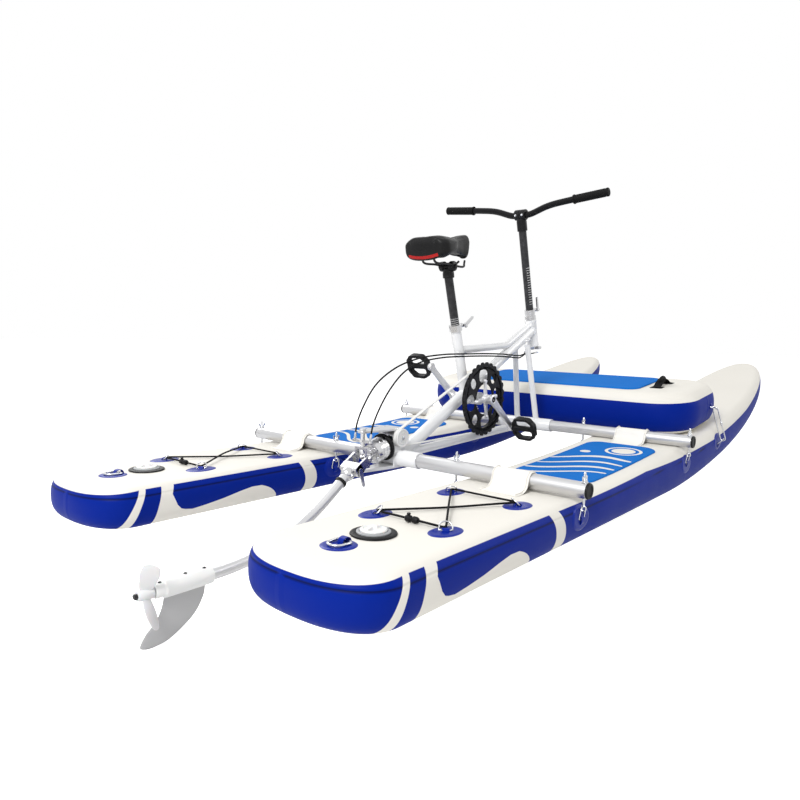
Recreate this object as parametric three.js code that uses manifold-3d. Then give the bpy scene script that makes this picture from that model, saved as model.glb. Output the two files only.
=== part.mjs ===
// Pontoon water bike: two inflatable pontoons, a pedalled frame and a swivelling propeller leg.
// Millimetres. X runs to the bows, Y to port and Z up. The bike is laid out from the axis of the rear
// cross bar, its centre plane and the flat bottom of the pontoons, and is set on its lowest point last.

import * as THREE from 'three';
import { mergeVertices } from 'three/addons/utils/BufferGeometryUtils.js';
import Module from 'manifold-3d';

const wasm = await Module();
wasm.setup();

// Shared values
const gap = 0.3;
const overrun = 2;
const weldShare = 1e-5;
const tubeSides = 12;
const pinSides = 8;
const wireSides = 6;
const ringSides = 4;
const arcSteps = 4;
const deg = Math.PI / 180;
const port = 1;
const starboard = -1;

// Pontoons
const pontoon = {
  spacing: 834,
  width: 360,
  floorZ: 45,
  thickness: 105,
  sternX: -765,
  bowX: 2325,
  cornerRadius: 105,
  sternCrown: 12,
  rail: 40,
  taperX: 1250,
  deckRise: 280,
  keelRise: 285,
  keelFlatX: 700,
  cornerSteps: 3,
  sideSteps: 9,
  bowSteps: 7,
  railSteps: 6,
  railShare: 0.8,
  bowShare: 0.8,
  deckPower: 2,
  keelPower: 1.7,
};
const hullY = pontoon.spacing / 2;
const hullHalf = pontoon.width / 2;

// Patches and rings on the pontoons
const patch = {
  proud: 2.5,
  sides: 8,
  deckLength: 90,
  deckWidth: 62,
  sternDiameter: 72,
  railLength: 92,
  railHeight: 62,
  railLevelShare: 0.6,
};
const wire = 3.2;
const ringWidth = 26;
const ringRise = 13;
const ringSteps = 4;
const hookLevelShare = 0.83;
const hookOutset = 185;
const bungee = {
  frontX: -152,
  rearX: -432,
  spread: 186,
  diameter: 5,
  lift: 6,
  crossLift: 6,
  lockLength: 34,
  lockDiameter: 15,
  lockShare: 0.45,
  turn: 12,
  turnShare: 0.2,
};
const sternRingX = -636;
const valveX = -541;
const valve = { flange: 94, flangeHeight: 5, cap: 60, capHeight: 11, grip: 6, gripWidth: 8 };
const sternRing = { width: 34, length: 30, wire: 5, loopWidth: 20, loopHeight: 9, steps: 6 };
const deckPad = {
  rearX: 165,
  frontGap: 4,
  width: 236,
  thick: 5,
  corner: 50,
  edge: 3,
  cornerSteps: 3,
  edgeSteps: 2,
};

// Cross bars
const bar = {
  diameter: 40,
  wall: 2.5,
  end: 611,
  root: 26,
  rearLift: 6,
  frontX: 802,
  frontLift: 0.6,
  plug: 6,
  plugInsert: 5,
};
const rearBarZ = deckAt(0) + bar.rearLift + bar.diameter / 2;
const frontBarZ = deckAt(bar.frontX) + bar.frontLift + bar.diameter / 2;
const socket = { diameter: 47, length: 210 };
const sleeve = { y: 412, width: 108, wall: 4, foot: 78, footHeight: 3, shoulder: 34, open: 20 * deg };
const tieRod = {
  diameter: 6,
  topReach: 24,
  eye: 12,
  eyeWire: 3.6,
  nut: 13,
  nutHeight: 6,
  wing: 26,
  eyeSteps: 8,
};

// Cross platform
const platform = {
  endInset: 30,
  depth: 450,
  thickness: 150,
  rearX: 890,
  seatInset: 55,
  rail: 62,
  corner: 150,
  cornerSteps: 4,
  railSteps: 5,
};
const platformLength = (hullY + hullHalf - platform.endInset) * 2;
const platformPad = { length: 720, depth: 290, thick: 5, corner: 45, edge: 3, cornerSteps: 4, edgeSteps: 2 };
const handle = { y: -405, length: 130, width: 28, thick: 3, lift: 22, steps: 10 };
const clip = { depthShare: 0.6222, width: 17, stand: 18, wire: 5, hullLevelShare: 0.72, steps: 5 };
const clipX = platform.rearX + platform.depth * clip.depthShare;

// Welded frame
const frame = {
  lowerTube: 28,
  downTube: 39,
  seatTube: 33,
  topTube: 25,
  headTube: 41,
  strut: 21,
  shell: 42,
  shellWidth: 68,
  strutSpread: 82,
  strutTopSpread: 52,
  strutTopX: 733,
  strutTopZ: 505,
  downFootX: 5,
  downFootZ: 158,
  downHeadDrop: 40,
  topTubeSeatDrop: 82,
  topTubeBendX: 624,
  topTubeBendZ: 502,
  topTubeHeadDrop: 16,
  lowerFootX: 14,
};
const head = { x: 796, z: 600, lean: 15.4 * deg, length: 103, steerer: 32 };
const seat = { footX: 370, footZ: 342, lean: 16.7 * deg, length: 233 };
const crankX = 417;
const crankZ = 324;

// Saddle and its post
const post = { diameter: 27.6, insert: 100, reach: 176, boreStop: 28 };
const collar = { wall: 4.5, height: 20, lip: 3, lug: 15, lugWidth: 20, lugShare: 0.8, boltShare: 0.6 };
const lever = {
  length: 46,
  thick: 5,
  eye: 11,
  tip: 9,
  barrel: 14,
  play: 0.7,
  seatPitch: 35 * deg,
  headPitch: 105 * deg,
};
const saddle = {
  crownShare: 0.42,
  length: 240,
  width: 164,
  height: 58,
  behind: 140,
  lift: 55.8,
  pitch: 8 * deg,
  sides: 16,
  widthShares: [0.58, 0.84, 0.944, 1, 0.93, 0.68, 0.45, 0.31, 0.288, 0.25, 0.14],
  placeShares: [0, 0.04, 0.0875, 0.14, 0.301, 0.4625, 0.613, 0.774, 0.833, 0.935, 1],
  crownShares: [0.55, 0.82, 0.937, 1, 0.94, 0.86, 0.86, 0.92, 0.913, 0.9, 0.6],
  dropShares: [1.15, 1.35, 0.85, 0.895, 0.86, 0.8, 0.86, 1, 0.985, 1.4, 1.1],
};
const rails = {
  spread: 44,
  diameter: 7,
  length: 150,
  rise: 20,
  behind: 95,
  head: 32,
  headWidth: 56,
  noseShare: 0.5,
  steps: 10,
  sides: 7,
};

// Steering column
const stem = { diameter: 28, insert: 85, reach: 366, axisReach: 387 };
const heightCollar = { lower: 42, waist: 37, upper: 40, lowerHeight: 14, waistHeight: 8, upperHeight: 16 };
const handlebar = {
  diameter: 22.2,
  centreHalf: 38,
  bendHalf: 120,
  bendRise: 26,
  half: 325,
  rise: 45,
  easeShare: 0.22,
  steps: 16,
};
const barClamp = { diameter: 38, width: 44, socket: 36, wall: 4 };
const grip = { diameter: 29, length: 122 };
const steerArm = { half: 34, width: 18, thick: 7, drop: 4 };

// Crank set
const crank = {
  length: 170,
  angle: 38.2 * deg,
  hub: 34,
  eye: 26,
  thick: 13,
  plane: 78,
  spindle: 17,
  spiderArms: 4,
  spiderRoot: 27.2,
  spiderReach: 60,
  spiderWidth: 13,
  spiderThick: 6,
};
const ring = {
  plane: 45,
  guard: 5,
  tip: 124,
  root: 118,
  knobs: 28,
  knobShares: [[0, 0], [0.18, 1], [0.55, 1], [0.73, 0]],
  inner: 52,
  track: 108,
  trackWall: 9,
  trackWidth: 13,
  sides: 28,
  windowPairs: 4,
  windows: [
    { turnShare: 0, radius: 81, length: 48, width: 32 },
    { turnShare: 0.5, radius: 82, length: 30, width: 24 },
  ],
};
const pedal = {
  length: 84,
  width: 86,
  thick: 21,
  rim: 9,
  barrel: 25,
  spindle: 9,
  offset: 51,
  chamfer: 20,
  pitch: 65 * deg,
};

// Belt drive and gearbox
const pulley = { x: -8, z: 236, track: 22, flange: 27, flangeWidth: 4, shaft: 16, collarWidth: 6 };
const belt = { width: 11, thick: 4, play: 0.5, steps: 28 };
const cheek = { inner: 27, thick: 5, boss: 17, footHalf: 26, top: 257.7 };
const gearbox = {
  cross: 21,
  crossHalf: 26,
  neck: 20,
  neckX: -24,
  throat: 12,
  flange: 40,
  flangeX: -34,
  flangeWidth: 10,
  barrel: 34,
  barrelWidth: 48,
  barrelLip: 4,
  nose: 14,
  noseLength: 8,
};
const shaftDiameter = 12;
const jointBall = 18;

// Drive leg
const swivelX = -128;
const swivelZ = 190;
const yoke = { halfWidth: 24, halfHeight: 28, wall: 7, depth: 12, pin: 12, pinHead: 18, sidePin: 10 };
const tiller = { half: 36, z: 232, thick: 7, boss: 24, width: 12 };
const swivelPlate = { z: 258, thick: 6, frontX: 14, overhang: 14, frontHalf: 33, hole: 10, holeX: -62 };
const footPlate = { z: 147, thick: 8, half: 30, tail: 12, overhang: 12 };
const leg = {
  diameter: 28,
  pitch: 35 * deg,
  straight: 168,
  bend: 600,
  bendSteps: 7,
  steps: 16,
  tailX: -700,
  ear: 6,
  earEye: 22,
  blockStart: 36,
  blockEnd: 60,
  blockHalf: 15,
  halfTurn: 180,
  collarAt: 98,
  collarWidth: 9,
  collarProud: 2.5,
};
const latch = { length: 44, width: 14, tip: 9.8, thick: 4, at: 50 };
const finSleeve = {
  frontX: -624,
  stepX: -742,
  rearX: -764,
  diameter: 39,
  stepDiameter: 32,
  screw: 8,
  screwShares: [0.12, 0.46, 0.9],
};
const fin = {
  rootX: -637,
  chord: 104,
  depth: 122,
  thick: 5,
  leadShares: [[0, 0.16], [0.05, 0.33], [0.25, 0.61], [0.58, 0.82], [0.92, 0.96], [1.25, 1]],
  tailShares: [[1.53, 0.93], [1.42, 0.74], [1.18, 0.55], [1.05, 0.34], [1, 0.16]],
  steps: 24,
};
const propeller = {
  hubShare: 0.7,
  frontX: -767,
  hubLength: 34,
  hub: 26,
  radius: 78,
  shaft: 10,
  shaftInsert: 56,
  blades: 3,
  firstBlade: 115 * deg,
  chord: 40,
  thick: 3,
  nut: 13,
  nutLength: 7,
  rootTwist: 72 * deg,
  tipTwist: 50 * deg,
  chordShares: [0.55, 0.86, 1, 0.86, 0.4],
  radiusShares: [0.1, 0.4, 0.66, 0.88, 1],
  sectionShares: [[-0.5, 0], [-0.25, 0.5], [0.2, 0.5], [0.5, 0], [0.2, -0.5], [-0.25, -0.5]],
};

// Steering cables
const cable = { diameter: 5, steps: 32 };

const half = 0.5;
const pureWhite = 0xf4f4f2;
const xAxis = new THREE.Vector3(1, 0, 0);
const yAxis = new THREE.Vector3(0, 1, 0);
const zAxis = new THREE.Vector3(0, 0, 1);

function point(x, y, z) {
  return new THREE.Vector3(x, y, z);
}

// A closed geometry as a solid, turned the right way out
function solid(geometry) {
  const bare = new THREE.BufferGeometry();
  bare.setAttribute('position', geometry.getAttribute('position').clone());
  if (geometry.index) {
    bare.setIndex(geometry.index.clone());
  }
  bare.computeBoundingSphere();
  const merged = mergeVertices(bare, bare.boundingSphere.radius * weldShare);
  const vertProperties = new Float32Array(merged.getAttribute('position').array);
  const triVerts = new Uint32Array(merged.index.array);
  if (signedVolume(vertProperties, triVerts) < 0) {
    triVerts.reverse();
  }
  return new wasm.Manifold(new wasm.Mesh({ numProp: 3, vertProperties, triVerts }));
}

function signedVolume(places, corners) {
  const a = new THREE.Vector3();
  const b = new THREE.Vector3();
  const c = new THREE.Vector3();
  let total = 0;
  for (let i = 0; i < corners.length; i += 3) {
    a.fromArray(places, corners[i] * 3);
    b.fromArray(places, corners[i + 1] * 3);
    c.fromArray(places, corners[i + 2] * 3);
    total += a.dot(b.cross(c));
  }
  return total;
}

function geometryOf(body) {
  const mesh = body.getMesh();
  const geometry = new THREE.BufferGeometry();
  geometry.setAttribute('position', new THREE.BufferAttribute(mesh.vertProperties, 3));
  geometry.setIndex(new THREE.BufferAttribute(mesh.triVerts, 1));
  const flat = geometry.toNonIndexed();
  flat.computeVertexNormals();
  return flat;
}

function union(bodies) {
  return bodies.reduce((whole, body) => whole.add(body));
}

// The placement that carries the Y axis onto the line from a to b, at its middle
function along(a, b) {
  const turn = new THREE.Quaternion().setFromUnitVectors(yAxis, b.clone().sub(a).normalize());
  return new THREE.Matrix4().compose(a.clone().lerp(b, half), turn, point(1, 1, 1));
}

function rod(a, b, diameter, sides = tubeSides, endDiameter = diameter) {
  const shape = new THREE.CylinderGeometry(endDiameter / 2, diameter / 2, a.distanceTo(b), sides);
  return solid(shape.applyMatrix4(along(a, b)));
}

// A turned piece: the profile holds [radius, distance from a towards b]
function turned(a, b, profile, sides = tubeSides) {
  const points = profile.map(([radius, reach]) => new THREE.Vector2(radius, reach));
  const shape = new THREE.LatheGeometry(points, sides);
  shape.translate(0, -a.distanceTo(b) / 2, 0);
  return solid(shape.applyMatrix4(along(a, b)));
}

// Width of a bore that a pin of that width turns in, corner to flat
function running(diameter, sides = pinSides) {
  return (diameter + gap * 2) / Math.cos(Math.PI / sides);
}

function ball(centre, diameter, sides = pinSides) {
  const shape = new THREE.SphereGeometry(diameter / 2, sides, Math.round(sides * half));
  return solid(shape.translate(centre.x, centre.y, centre.z));
}

function block(low, high) {
  const size = high.clone().sub(low);
  const middle = low.clone().lerp(high, half);
  const shape = new THREE.BoxGeometry(size.x, size.y, size.z);
  return solid(shape.translate(middle.x, middle.y, middle.z));
}

function extrusion(depth) {
  return { depth, bevelEnabled: false, curveSegments: arcSteps };
}

// A pin across the bike, reaching as far to each side of its middle
function crossRod(x, z, reach, diameter) {
  return rod(point(x, -reach, z), point(x, reach, z), diameter, pinSides);
}

// A flat shape drawn in X and Z, thick from y = low to y = high
function sidePlate(shape, low, high) {
  const body = new THREE.ExtrudeGeometry(shape, extrusion(high - low));
  const stand = new THREE.Matrix4().makeBasis(xAxis, zAxis, yAxis.clone().negate());
  return solid(body.applyMatrix4(stand).translate(0, high, 0));
}

// A flat shape drawn in X and Y, thick from z = low to z = high
function levelPlate(shape, low, high) {
  const body = new THREE.ExtrudeGeometry(shape, extrusion(high - low));
  return solid(body.translate(0, 0, low));
}

function circle(diameter, sides = wireSides) {
  const outline = [];
  for (let i = 0; i < sides; i += 1) {
    const angle = (i / sides) * 2 * Math.PI;
    outline.push(new THREE.Vector2(Math.cos(angle), Math.sin(angle)).multiplyScalar(diameter / 2));
  }
  return new THREE.Shape(outline);
}

// A round tube along an open curve
function tube(curve, diameter, steps, sides = wireSides) {
  const shape = circle(diameter, sides);
  return solid(new THREE.ExtrudeGeometry(shape, { steps, extrudePath: curve, bevelEnabled: false }));
}

// Rings of equal length joined into one closed skin, with a flat end at each side
function loft(rings) {
  const sides = rings[0].length;
  const places = rings.flat().flatMap((spot) => [spot.x, spot.y, spot.z]);
  const corners = [];
  for (let r = 0; r + 1 < rings.length; r += 1) {
    for (let i = 0; i < sides; i += 1) {
      const a = r * sides + i;
      const b = r * sides + ((i + 1) % sides);
      corners.push(a, b, b + sides, a, b + sides, a + sides);
    }
  }
  const last = (rings.length - 1) * sides;
  for (let i = 1; i + 1 < sides; i += 1) {
    corners.push(0, i + 1, i, last, last + i, last + i + 1);
  }
  const geometry = new THREE.BufferGeometry();
  geometry.setAttribute('position', new THREE.Float32BufferAttribute(places, 3));
  geometry.setIndex(corners);
  return solid(geometry);
}

function loopNormal(points) {
  const normal = new THREE.Vector3();
  points.forEach((spot, i) => {
    const run = points[(i + 1) % points.length].clone().sub(points[0]);
    normal.add(run.cross(spot.clone().sub(points[0])));
  });
  return normal.normalize();
}

// A closed loop of wire with a corner at each of its points, flat across the normal or nearly so
function hoop(points, diameter, sides = ringSides, normal = loopNormal(points)) {
  const count = points.length;
  const places = [];
  const corners = [];
  points.forEach((spot, i) => {
    const tangent = points[(i + 1) % count].clone().sub(points[(i + count - 1) % count]);
    const outward = tangent.cross(normal).normalize();
    const next = ((i + 1) % count) * sides;
    for (let k = 0; k < sides; k += 1) {
      const angle = ((k + half) / sides) * 2 * Math.PI;
      const place = spot.clone().addScaledVector(outward, (Math.cos(angle) * diameter) / 2);
      place.addScaledVector(normal, (Math.sin(angle) * diameter) / 2);
      places.push(place.x, place.y, place.z);
      const a = i * sides + k;
      const b = i * sides + ((k + 1) % sides);
      const c = next + ((k + 1) % sides);
      corners.push(a, b, c, a, c, next + k);
    }
  });
  const geometry = new THREE.BufferGeometry();
  geometry.setAttribute('position', new THREE.Float32BufferAttribute(places, 3));
  geometry.setIndex(corners);
  return solid(geometry);
}

// The outline of a link: two rounds of diameter a and b, c apart along X, and their tangents
function linkShape(a, b, c) {
  const lean = Math.acos((a - b) / 2 / c);
  const shape = new THREE.Shape();
  shape.absarc(0, 0, a / 2, lean, 2 * Math.PI - lean, false);
  shape.absarc(c, 0, b / 2, -lean, lean, false);
  return shape;
}

function roundedRectangle(length, width, corner) {
  const x = length / 2 - corner;
  const y = width / 2 - corner;
  const shape = new THREE.Shape();
  shape.absarc(x, y, corner, 0, Math.PI / 2, false);
  shape.absarc(-x, y, corner, Math.PI / 2, Math.PI, false);
  shape.absarc(-x, -y, corner, Math.PI, 1.5 * Math.PI, false);
  shape.absarc(x, -y, corner, 1.5 * Math.PI, 2 * Math.PI, false);
  return shape;
}

// Heights of the pontoon's deck and keel line. Between stations the deck runs straight.
function sideStations() {
  const start = pontoon.sternX + pontoon.sternCrown + pontoon.cornerRadius;
  const stations = [];
  for (let i = 1; i <= pontoon.sideSteps; i += 1) {
    stations.push(start + ((pontoon.taperX - start) * i) / pontoon.sideSteps);
  }
  return stations;
}

function deckCurve(x) {
  const share = Math.max(0, x) / pontoon.bowX;
  return pontoon.floorZ + pontoon.thickness + pontoon.deckRise * share ** pontoon.deckPower;
}

function keelCurve(x) {
  const share = Math.max(0, x - pontoon.keelFlatX) / (pontoon.bowX - pontoon.keelFlatX);
  return pontoon.floorZ + pontoon.keelRise * share ** pontoon.keelPower;
}

function deckAt(x) {
  const stations = sideStations();
  const next = stations.findIndex((station) => station > x);
  if (next < 1) {
    return deckCurve(x);
  }
  const share = (x - stations[next - 1]) / (stations[next] - stations[next - 1]);
  return THREE.MathUtils.lerp(deckCurve(stations[next - 1]), deckCurve(stations[next]), share);
}

// Half of the pontoon's plan, from the middle of the stern to the tip of the bow
function hullPlan() {
  const { sternX, sternCrown, cornerRadius, taperX, bowX, bowSteps, cornerSteps } = pontoon;
  const plan = [{ x: sternX, w: 0 }];
  for (let i = 0; i <= cornerSteps; i += 1) {
    const angle = ((i / cornerSteps) * Math.PI) / 2;
    const x = sternX + sternCrown + cornerRadius * (1 - Math.cos(angle));
    plan.push({ x, w: hullHalf - cornerRadius * (1 - Math.sin(angle)) });
  }
  for (const x of sideStations()) {
    plan.push({ x, w: hullHalf });
  }
  for (let i = 1; i < bowSteps; i += 1) {
    const angle = ((i / bowSteps) * Math.PI) / 2;
    const w = hullHalf * Math.cos(angle) ** pontoon.bowShare;
    plan.push({ x: taperX + (bowX - taperX) * Math.sin(angle), w });
  }
  plan.push({ x: bowX, w: 0 });
  return plan;
}

// An inflated form: its rail is a bulging band carried round the plan, and its deck and floor are
// level across. Each band of the rail is set in from the plan along the plan's own normal.
function inflated(plan, rail, railSteps, floorAt, topAt, grow = 0) {
  const last = plan.length - 1;
  const normals = plan.map((spot, i) => {
    const before = i === 0 ? { x: plan[1].x, w: -plan[1].w } : plan[i - 1];
    const after = i === last ? { x: plan[last - 1].x, w: -plan[last - 1].w } : plan[i + 1];
    return new THREE.Vector2(-(after.w - before.w), after.x - before.x).normalize();
  });
  const rings = [];
  for (let k = 0; k <= railSteps; k += 1) {
    const lean = Math.PI / 2 - (Math.PI * k) / railSteps;
    const inset = rail * (1 - Math.max(0, Math.cos(lean)) ** pontoon.railShare) - grow;
    const bulge = Math.sign(Math.sin(lean)) * Math.abs(Math.sin(lean)) ** pontoon.railShare;
    const side = plan.map((spot, i) => {
      const x = spot.x - normals[i].x * inset;
      const w = i === 0 || i === last ? 0 : Math.max(spot.w - normals[i].y * inset, gap);
      const low = floorAt(x) - grow;
      const high = topAt(x) + grow;
      return { x, w, z: low + (high - low) * (half + bulge / 2) };
    });
    const mirrored = side.slice(1, last).reverse().map((spot) => ({ ...spot, w: -spot.w }));
    rings.push([...side, ...mirrored].map((spot) => point(spot.x, spot.w, spot.z)));
  }
  const count = rings[0].length;
  const places = rings.flat().flatMap((spot) => [spot.x, spot.y, spot.z]);
  const corners = [];
  for (let k = 0; k < railSteps; k += 1) {
    for (let i = 0; i < count; i += 1) {
      const a = k * count + i;
      const b = k * count + ((i + 1) % count);
      corners.push(a, b, b + count, a, b + count, a + count);
    }
  }
  const floor = railSteps * count;
  for (let i = 0; i < last; i += 1) {
    const mirror = (count - i) % count;
    const nextMirror = count - i - 1;
    if (i + 1 < last) {
      corners.push(i, nextMirror, i + 1, floor + i, floor + i + 1, floor + nextMirror);
    }
    if (i > 0) {
      corners.push(i, mirror, nextMirror, floor + i, floor + nextMirror, floor + mirror);
    }
  }
  const geometry = new THREE.BufferGeometry();
  geometry.setAttribute('position', new THREE.Float32BufferAttribute(places, 3));
  geometry.setIndex(corners);
  return solid(geometry);
}

function hullForm(grow) {
  return inflated(hullPlan(), pontoon.rail, pontoon.railSteps, keelCurve, deckCurve, grow);
}

function ovalPlug(a, b, length, width) {
  const plug = new THREE.CylinderGeometry(half, half, a.distanceTo(b), patch.sides);
  plug.scale(length, 1, width);
  return solid(plug.applyMatrix4(along(a, b)));
}

// Height on the pontoon's side, as a share of its thickness there
function hullLevel(x, share) {
  return keelCurve(x) + (deckAt(x) - keelCurve(x)) * share;
}

// A ring's free half: a bow of wire from one foot to the other, its feet let into the patch
function bail(foot, across, out) {
  const points = [];
  for (let i = 0; i <= ringSteps; i += 1) {
    const angle = (i / ringSteps) * Math.PI;
    const spot = foot.clone().addScaledVector(across, Math.cos(angle));
    points.push(spot.addScaledVector(out, Math.sin(angle)));
  }
  points.unshift(points[0].clone().addScaledVector(out, -patch.proud / out.length()));
  points.push(points[points.length - 1].clone().addScaledVector(out, -patch.proud / out.length()));
  return tube(new THREE.CatmullRomCurve3(points), wire, ringSteps + 2, ringSides);
}

function bungeeCorners() {
  const side = bungee.spread / 2;
  return [
    point(bungee.frontX, side, 0),
    point(bungee.rearX, -side, 0),
    point(bungee.rearX, side, 0),
    point(bungee.frontX, -side, 0),
  ];
}

// The way that halves the cord's turn at a corner, between its side run and its diagonal
function cornerBisector(corner) {
  const [a, b] = bungeeCorners();
  const ends = new Map([[a.x, b.x], [b.x, a.x]]);
  const diagonal = point(ends.get(corner.x), -corner.y, 0).sub(corner).normalize();
  const sideRun = point(0, -Math.sign(corner.y), 0);
  return diagonal.add(sideRun).normalize();
}

// One pontoon with its glued patches and their rings. Out is the side away from the frame.
function hullSolid(out) {
  const deep = pontoon.thickness * half;
  const plugs = [];
  const bails = [];
  const rise = patch.proud - overrun * half;
  for (const corner of bungeeCorners()) {
    const top = deckAt(corner.x);
    const high = point(corner.x, corner.y, top + deep);
    plugs.push(ovalPlug(point(corner.x, corner.y, top - deep), high, patch.deckLength, patch.deckWidth));
    const across = cornerBisector(corner).multiplyScalar(ringWidth * half);
    bails.push(bail(point(corner.x, corner.y, top + rise), across, point(0, 0, ringRise)));
  }
  const sternTop = deckAt(sternRingX);
  const sternHigh = point(sternRingX, 0, sternTop + deep);
  const sternLow = point(sternRingX, 0, sternTop - deep);
  plugs.push(ovalPlug(sternLow, sternHigh, patch.sternDiameter, patch.sternDiameter));
  const loopAcross = point(sternRing.loopWidth * half, 0, 0);
  const loopRise = point(0, 0, sternRing.loopHeight);
  const loopFoot = point(sternRingX + sternRing.length * half, 0, sternTop + rise);
  bails.push(bail(loopFoot, loopAcross, loopRise));
  const railSpots = [[0, out], [0, -out], [bar.frontX, out], [bar.frontX, -out], [clipX, out]];
  for (const [x, side] of railSpots) {
    const z = hullLevel(x, patch.railLevelShare);
    const far = point(x, side * (hullHalf + deep), z);
    const near = point(x, side * deep, z);
    plugs.push(ovalPlug(near, far, patch.railLength, patch.railHeight));
  }
  for (const [x, side] of railSpots.slice(0, -1)) {
    const top = point(x, side * hookOutset, hullLevel(x, hookLevelShare));
    const foot = point(x, side * (hullHalf - overrun * 2), top.z - ringWidth);
    bails.push(bail(foot, point(ringWidth * half, 0, 0), top.clone().sub(foot)));
  }
  bails.push(clipRing(out));
  const patches = hullForm(patch.proud).intersect(union(plugs));
  return union([hullForm(0).add(patches), ...bails]);
}

function clipFoot(out) {
  return point(clipX, out * (hullHalf - overrun * half), hullLevel(clipX, clip.hullLevelShare) - ringWidth);
}

function hullRingOut(out) {
  return point(0, out * clip.stand, clip.stand);
}

function clipRing(out) {
  return bail(clipFoot(out), point(ringWidth * half, 0, 0), hullRingOut(out));
}

function valveSolid() {
  const top = deckAt(valveX) + gap;
  const profile = [
    [0, 0],
    [valve.flange / 2, 0],
    [valve.flange / 2, valve.flangeHeight * half],
    [valve.cap / 2 + overrun, valve.flangeHeight],
    [valve.cap / 2, valve.capHeight],
    [0, valve.capHeight],
  ];
  const base = point(valveX, 0, top);
  const body = turned(base, point(valveX, 0, top + valve.capHeight), profile, tubeSides);
  const reach = valve.cap * half - overrun;
  const low = point(valveX - reach, -valve.gripWidth * half, top + valve.capHeight - overrun);
  const high = point(valveX + reach, valve.gripWidth * half, top + valve.capHeight + valve.grip);
  return body.add(block(low, high));
}

// The loose D ring: its straight side runs under the webbing loop, its bow trails aft
function sternRingSolid() {
  const z = sternRingHeight();
  const hinge = sternRingX + sternRing.length * half;
  const side = sternRing.width * half;
  const points = [point(hinge, side, z), point(hinge, -side, z)];
  for (let i = 0; i <= sternRing.steps; i += 1) {
    const angle = (i / sternRing.steps) * Math.PI;
    const x = hinge - (sternRing.length - side) - side * Math.sin(angle);
    points.push(point(x, -side * Math.cos(angle), z));
  }
  return hoop(points, sternRing.wire, wireSides);
}

function sternRingHeight() {
  return deckAt(sternRingX) + patch.proud + gap + sternRing.wire * half;
}

// Half plan of a rounded rectangle, from the middle of one end to the middle of the other
function slabPlan(length, width, corner, steps, centreX) {
  const rear = centreX - length / 2;
  const front = centreX + length / 2;
  const plan = [{ x: rear, w: 0 }];
  for (let i = 0; i <= steps; i += 1) {
    const angle = ((i / steps) * Math.PI) / 2;
    const w = width / 2 - corner * (1 - Math.sin(angle));
    plan.push({ x: rear + corner * (1 - Math.cos(angle)), w });
  }
  for (let i = steps; i >= 0; i -= 1) {
    const angle = ((i / steps) * Math.PI) / 2;
    const w = width / 2 - corner * (1 - Math.sin(angle));
    plan.push({ x: front - corner * (1 - Math.cos(angle)), w });
  }
  plan.push({ x: front, w: 0 });
  return plan;
}

function deckPadSolid() {
  const frontX = bar.frontX - sleeve.foot - deckPad.frontGap;
  const length = frontX - deckPad.rearX;
  const centre = (frontX + deckPad.rearX) / 2;
  const plan = slabPlan(length, deckPad.width, deckPad.corner, deckPad.cornerSteps, centre);
  const low = deckPad.rearX + deckPad.corner;
  const high = frontX - deckPad.corner;
  const stations = sideStations().filter((x) => low < x && x < high);
  plan.splice(plan.length / 2, 0, ...stations.map((x) => ({ x, w: deckPad.width / 2 })));
  const floor = (x) => deckAt(x) + gap;
  return inflated(plan, deckPad.edge, deckPad.edgeSteps, floor, (x) => floor(x) + deckPad.thick);
}

// The platform lies on both decks at two lines of contact, so it takes the tilt of the deck there
const platformLow = platform.rearX + platform.seatInset;
const platformHigh = platform.rearX + platform.depth - platform.seatInset;
const platformTilt = Math.atan2(deckAt(platformHigh) - deckAt(platformLow), platformHigh - platformLow);

function platformPlace() {
  const place = new THREE.Matrix4().makeTranslation(platformLow, 0, deckAt(platformLow) + gap);
  place.multiply(new THREE.Matrix4().makeRotationY(-platformTilt));
  place.multiply(new THREE.Matrix4().makeTranslation(platform.depth / 2 - platform.seatInset, 0, 0));
  return place;
}

// Solids of the platform are drawn lengthwise along X, about their own middle, and then placed
function onPlatform(body) {
  const quarter = new THREE.Matrix4().makeRotationZ(Math.PI / 2);
  const place = platformPlace().multiply(quarter);
  return body.transform(place.elements);
}

function platformSpot(across, ahead, up) {
  return point(ahead, across, up).applyMatrix4(platformPlace());
}

function platformSolid() {
  const { depth, corner, cornerSteps, rail, railSteps, thickness } = platform;
  const plan = slabPlan(platformLength, depth, corner, cornerSteps, 0);
  const body = inflated(plan, rail, railSteps, () => 0, () => thickness);
  const clips = [port, starboard].map((side) => {
    return bail(clipTop(side), point(ringWidth * half, 0, 0), platformRingOut(side));
  });
  return union([onPlatform(body), ...clips]);
}

function platformRingOut(side) {
  return point(0, side * clip.stand, -clip.stand * half);
}

function clipTop(side) {
  const ahead = platform.depth * (clip.depthShare - half);
  return platformSpot(side * (platformLength / 2 - overrun), ahead, platform.thickness * half);
}

function platformPadSolid() {
  const { length, depth, corner, cornerSteps } = platformPad;
  const plan = slabPlan(length, depth, corner, cornerSteps, 0);
  const floor = platform.thickness + gap;
  const roof = floor + platformPad.thick;
  return onPlatform(inflated(plan, platformPad.edge, platformPad.edgeSteps, () => floor, () => roof));
}

// Webbing handle: its feet lie on the platform and its middle arches up
function platformHandleSolid() {
  const floor = platform.thickness + gap;
  const rings = [];
  for (let i = 0; i <= handle.steps; i += 1) {
    const share = i / handle.steps;
    const x = (share - half) * handle.length;
    const low = floor + handle.lift * Math.sin(share * Math.PI) ** 2;
    const corners = [[-half, 0], [half, 0], [half, 1], [-half, 1]];
    rings.push(corners.map(([w, z]) => point(x, handle.y + w * handle.width, low + z * handle.thick)));
  }
  return loft(rings).transform(platformPlace().elements);
}

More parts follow.
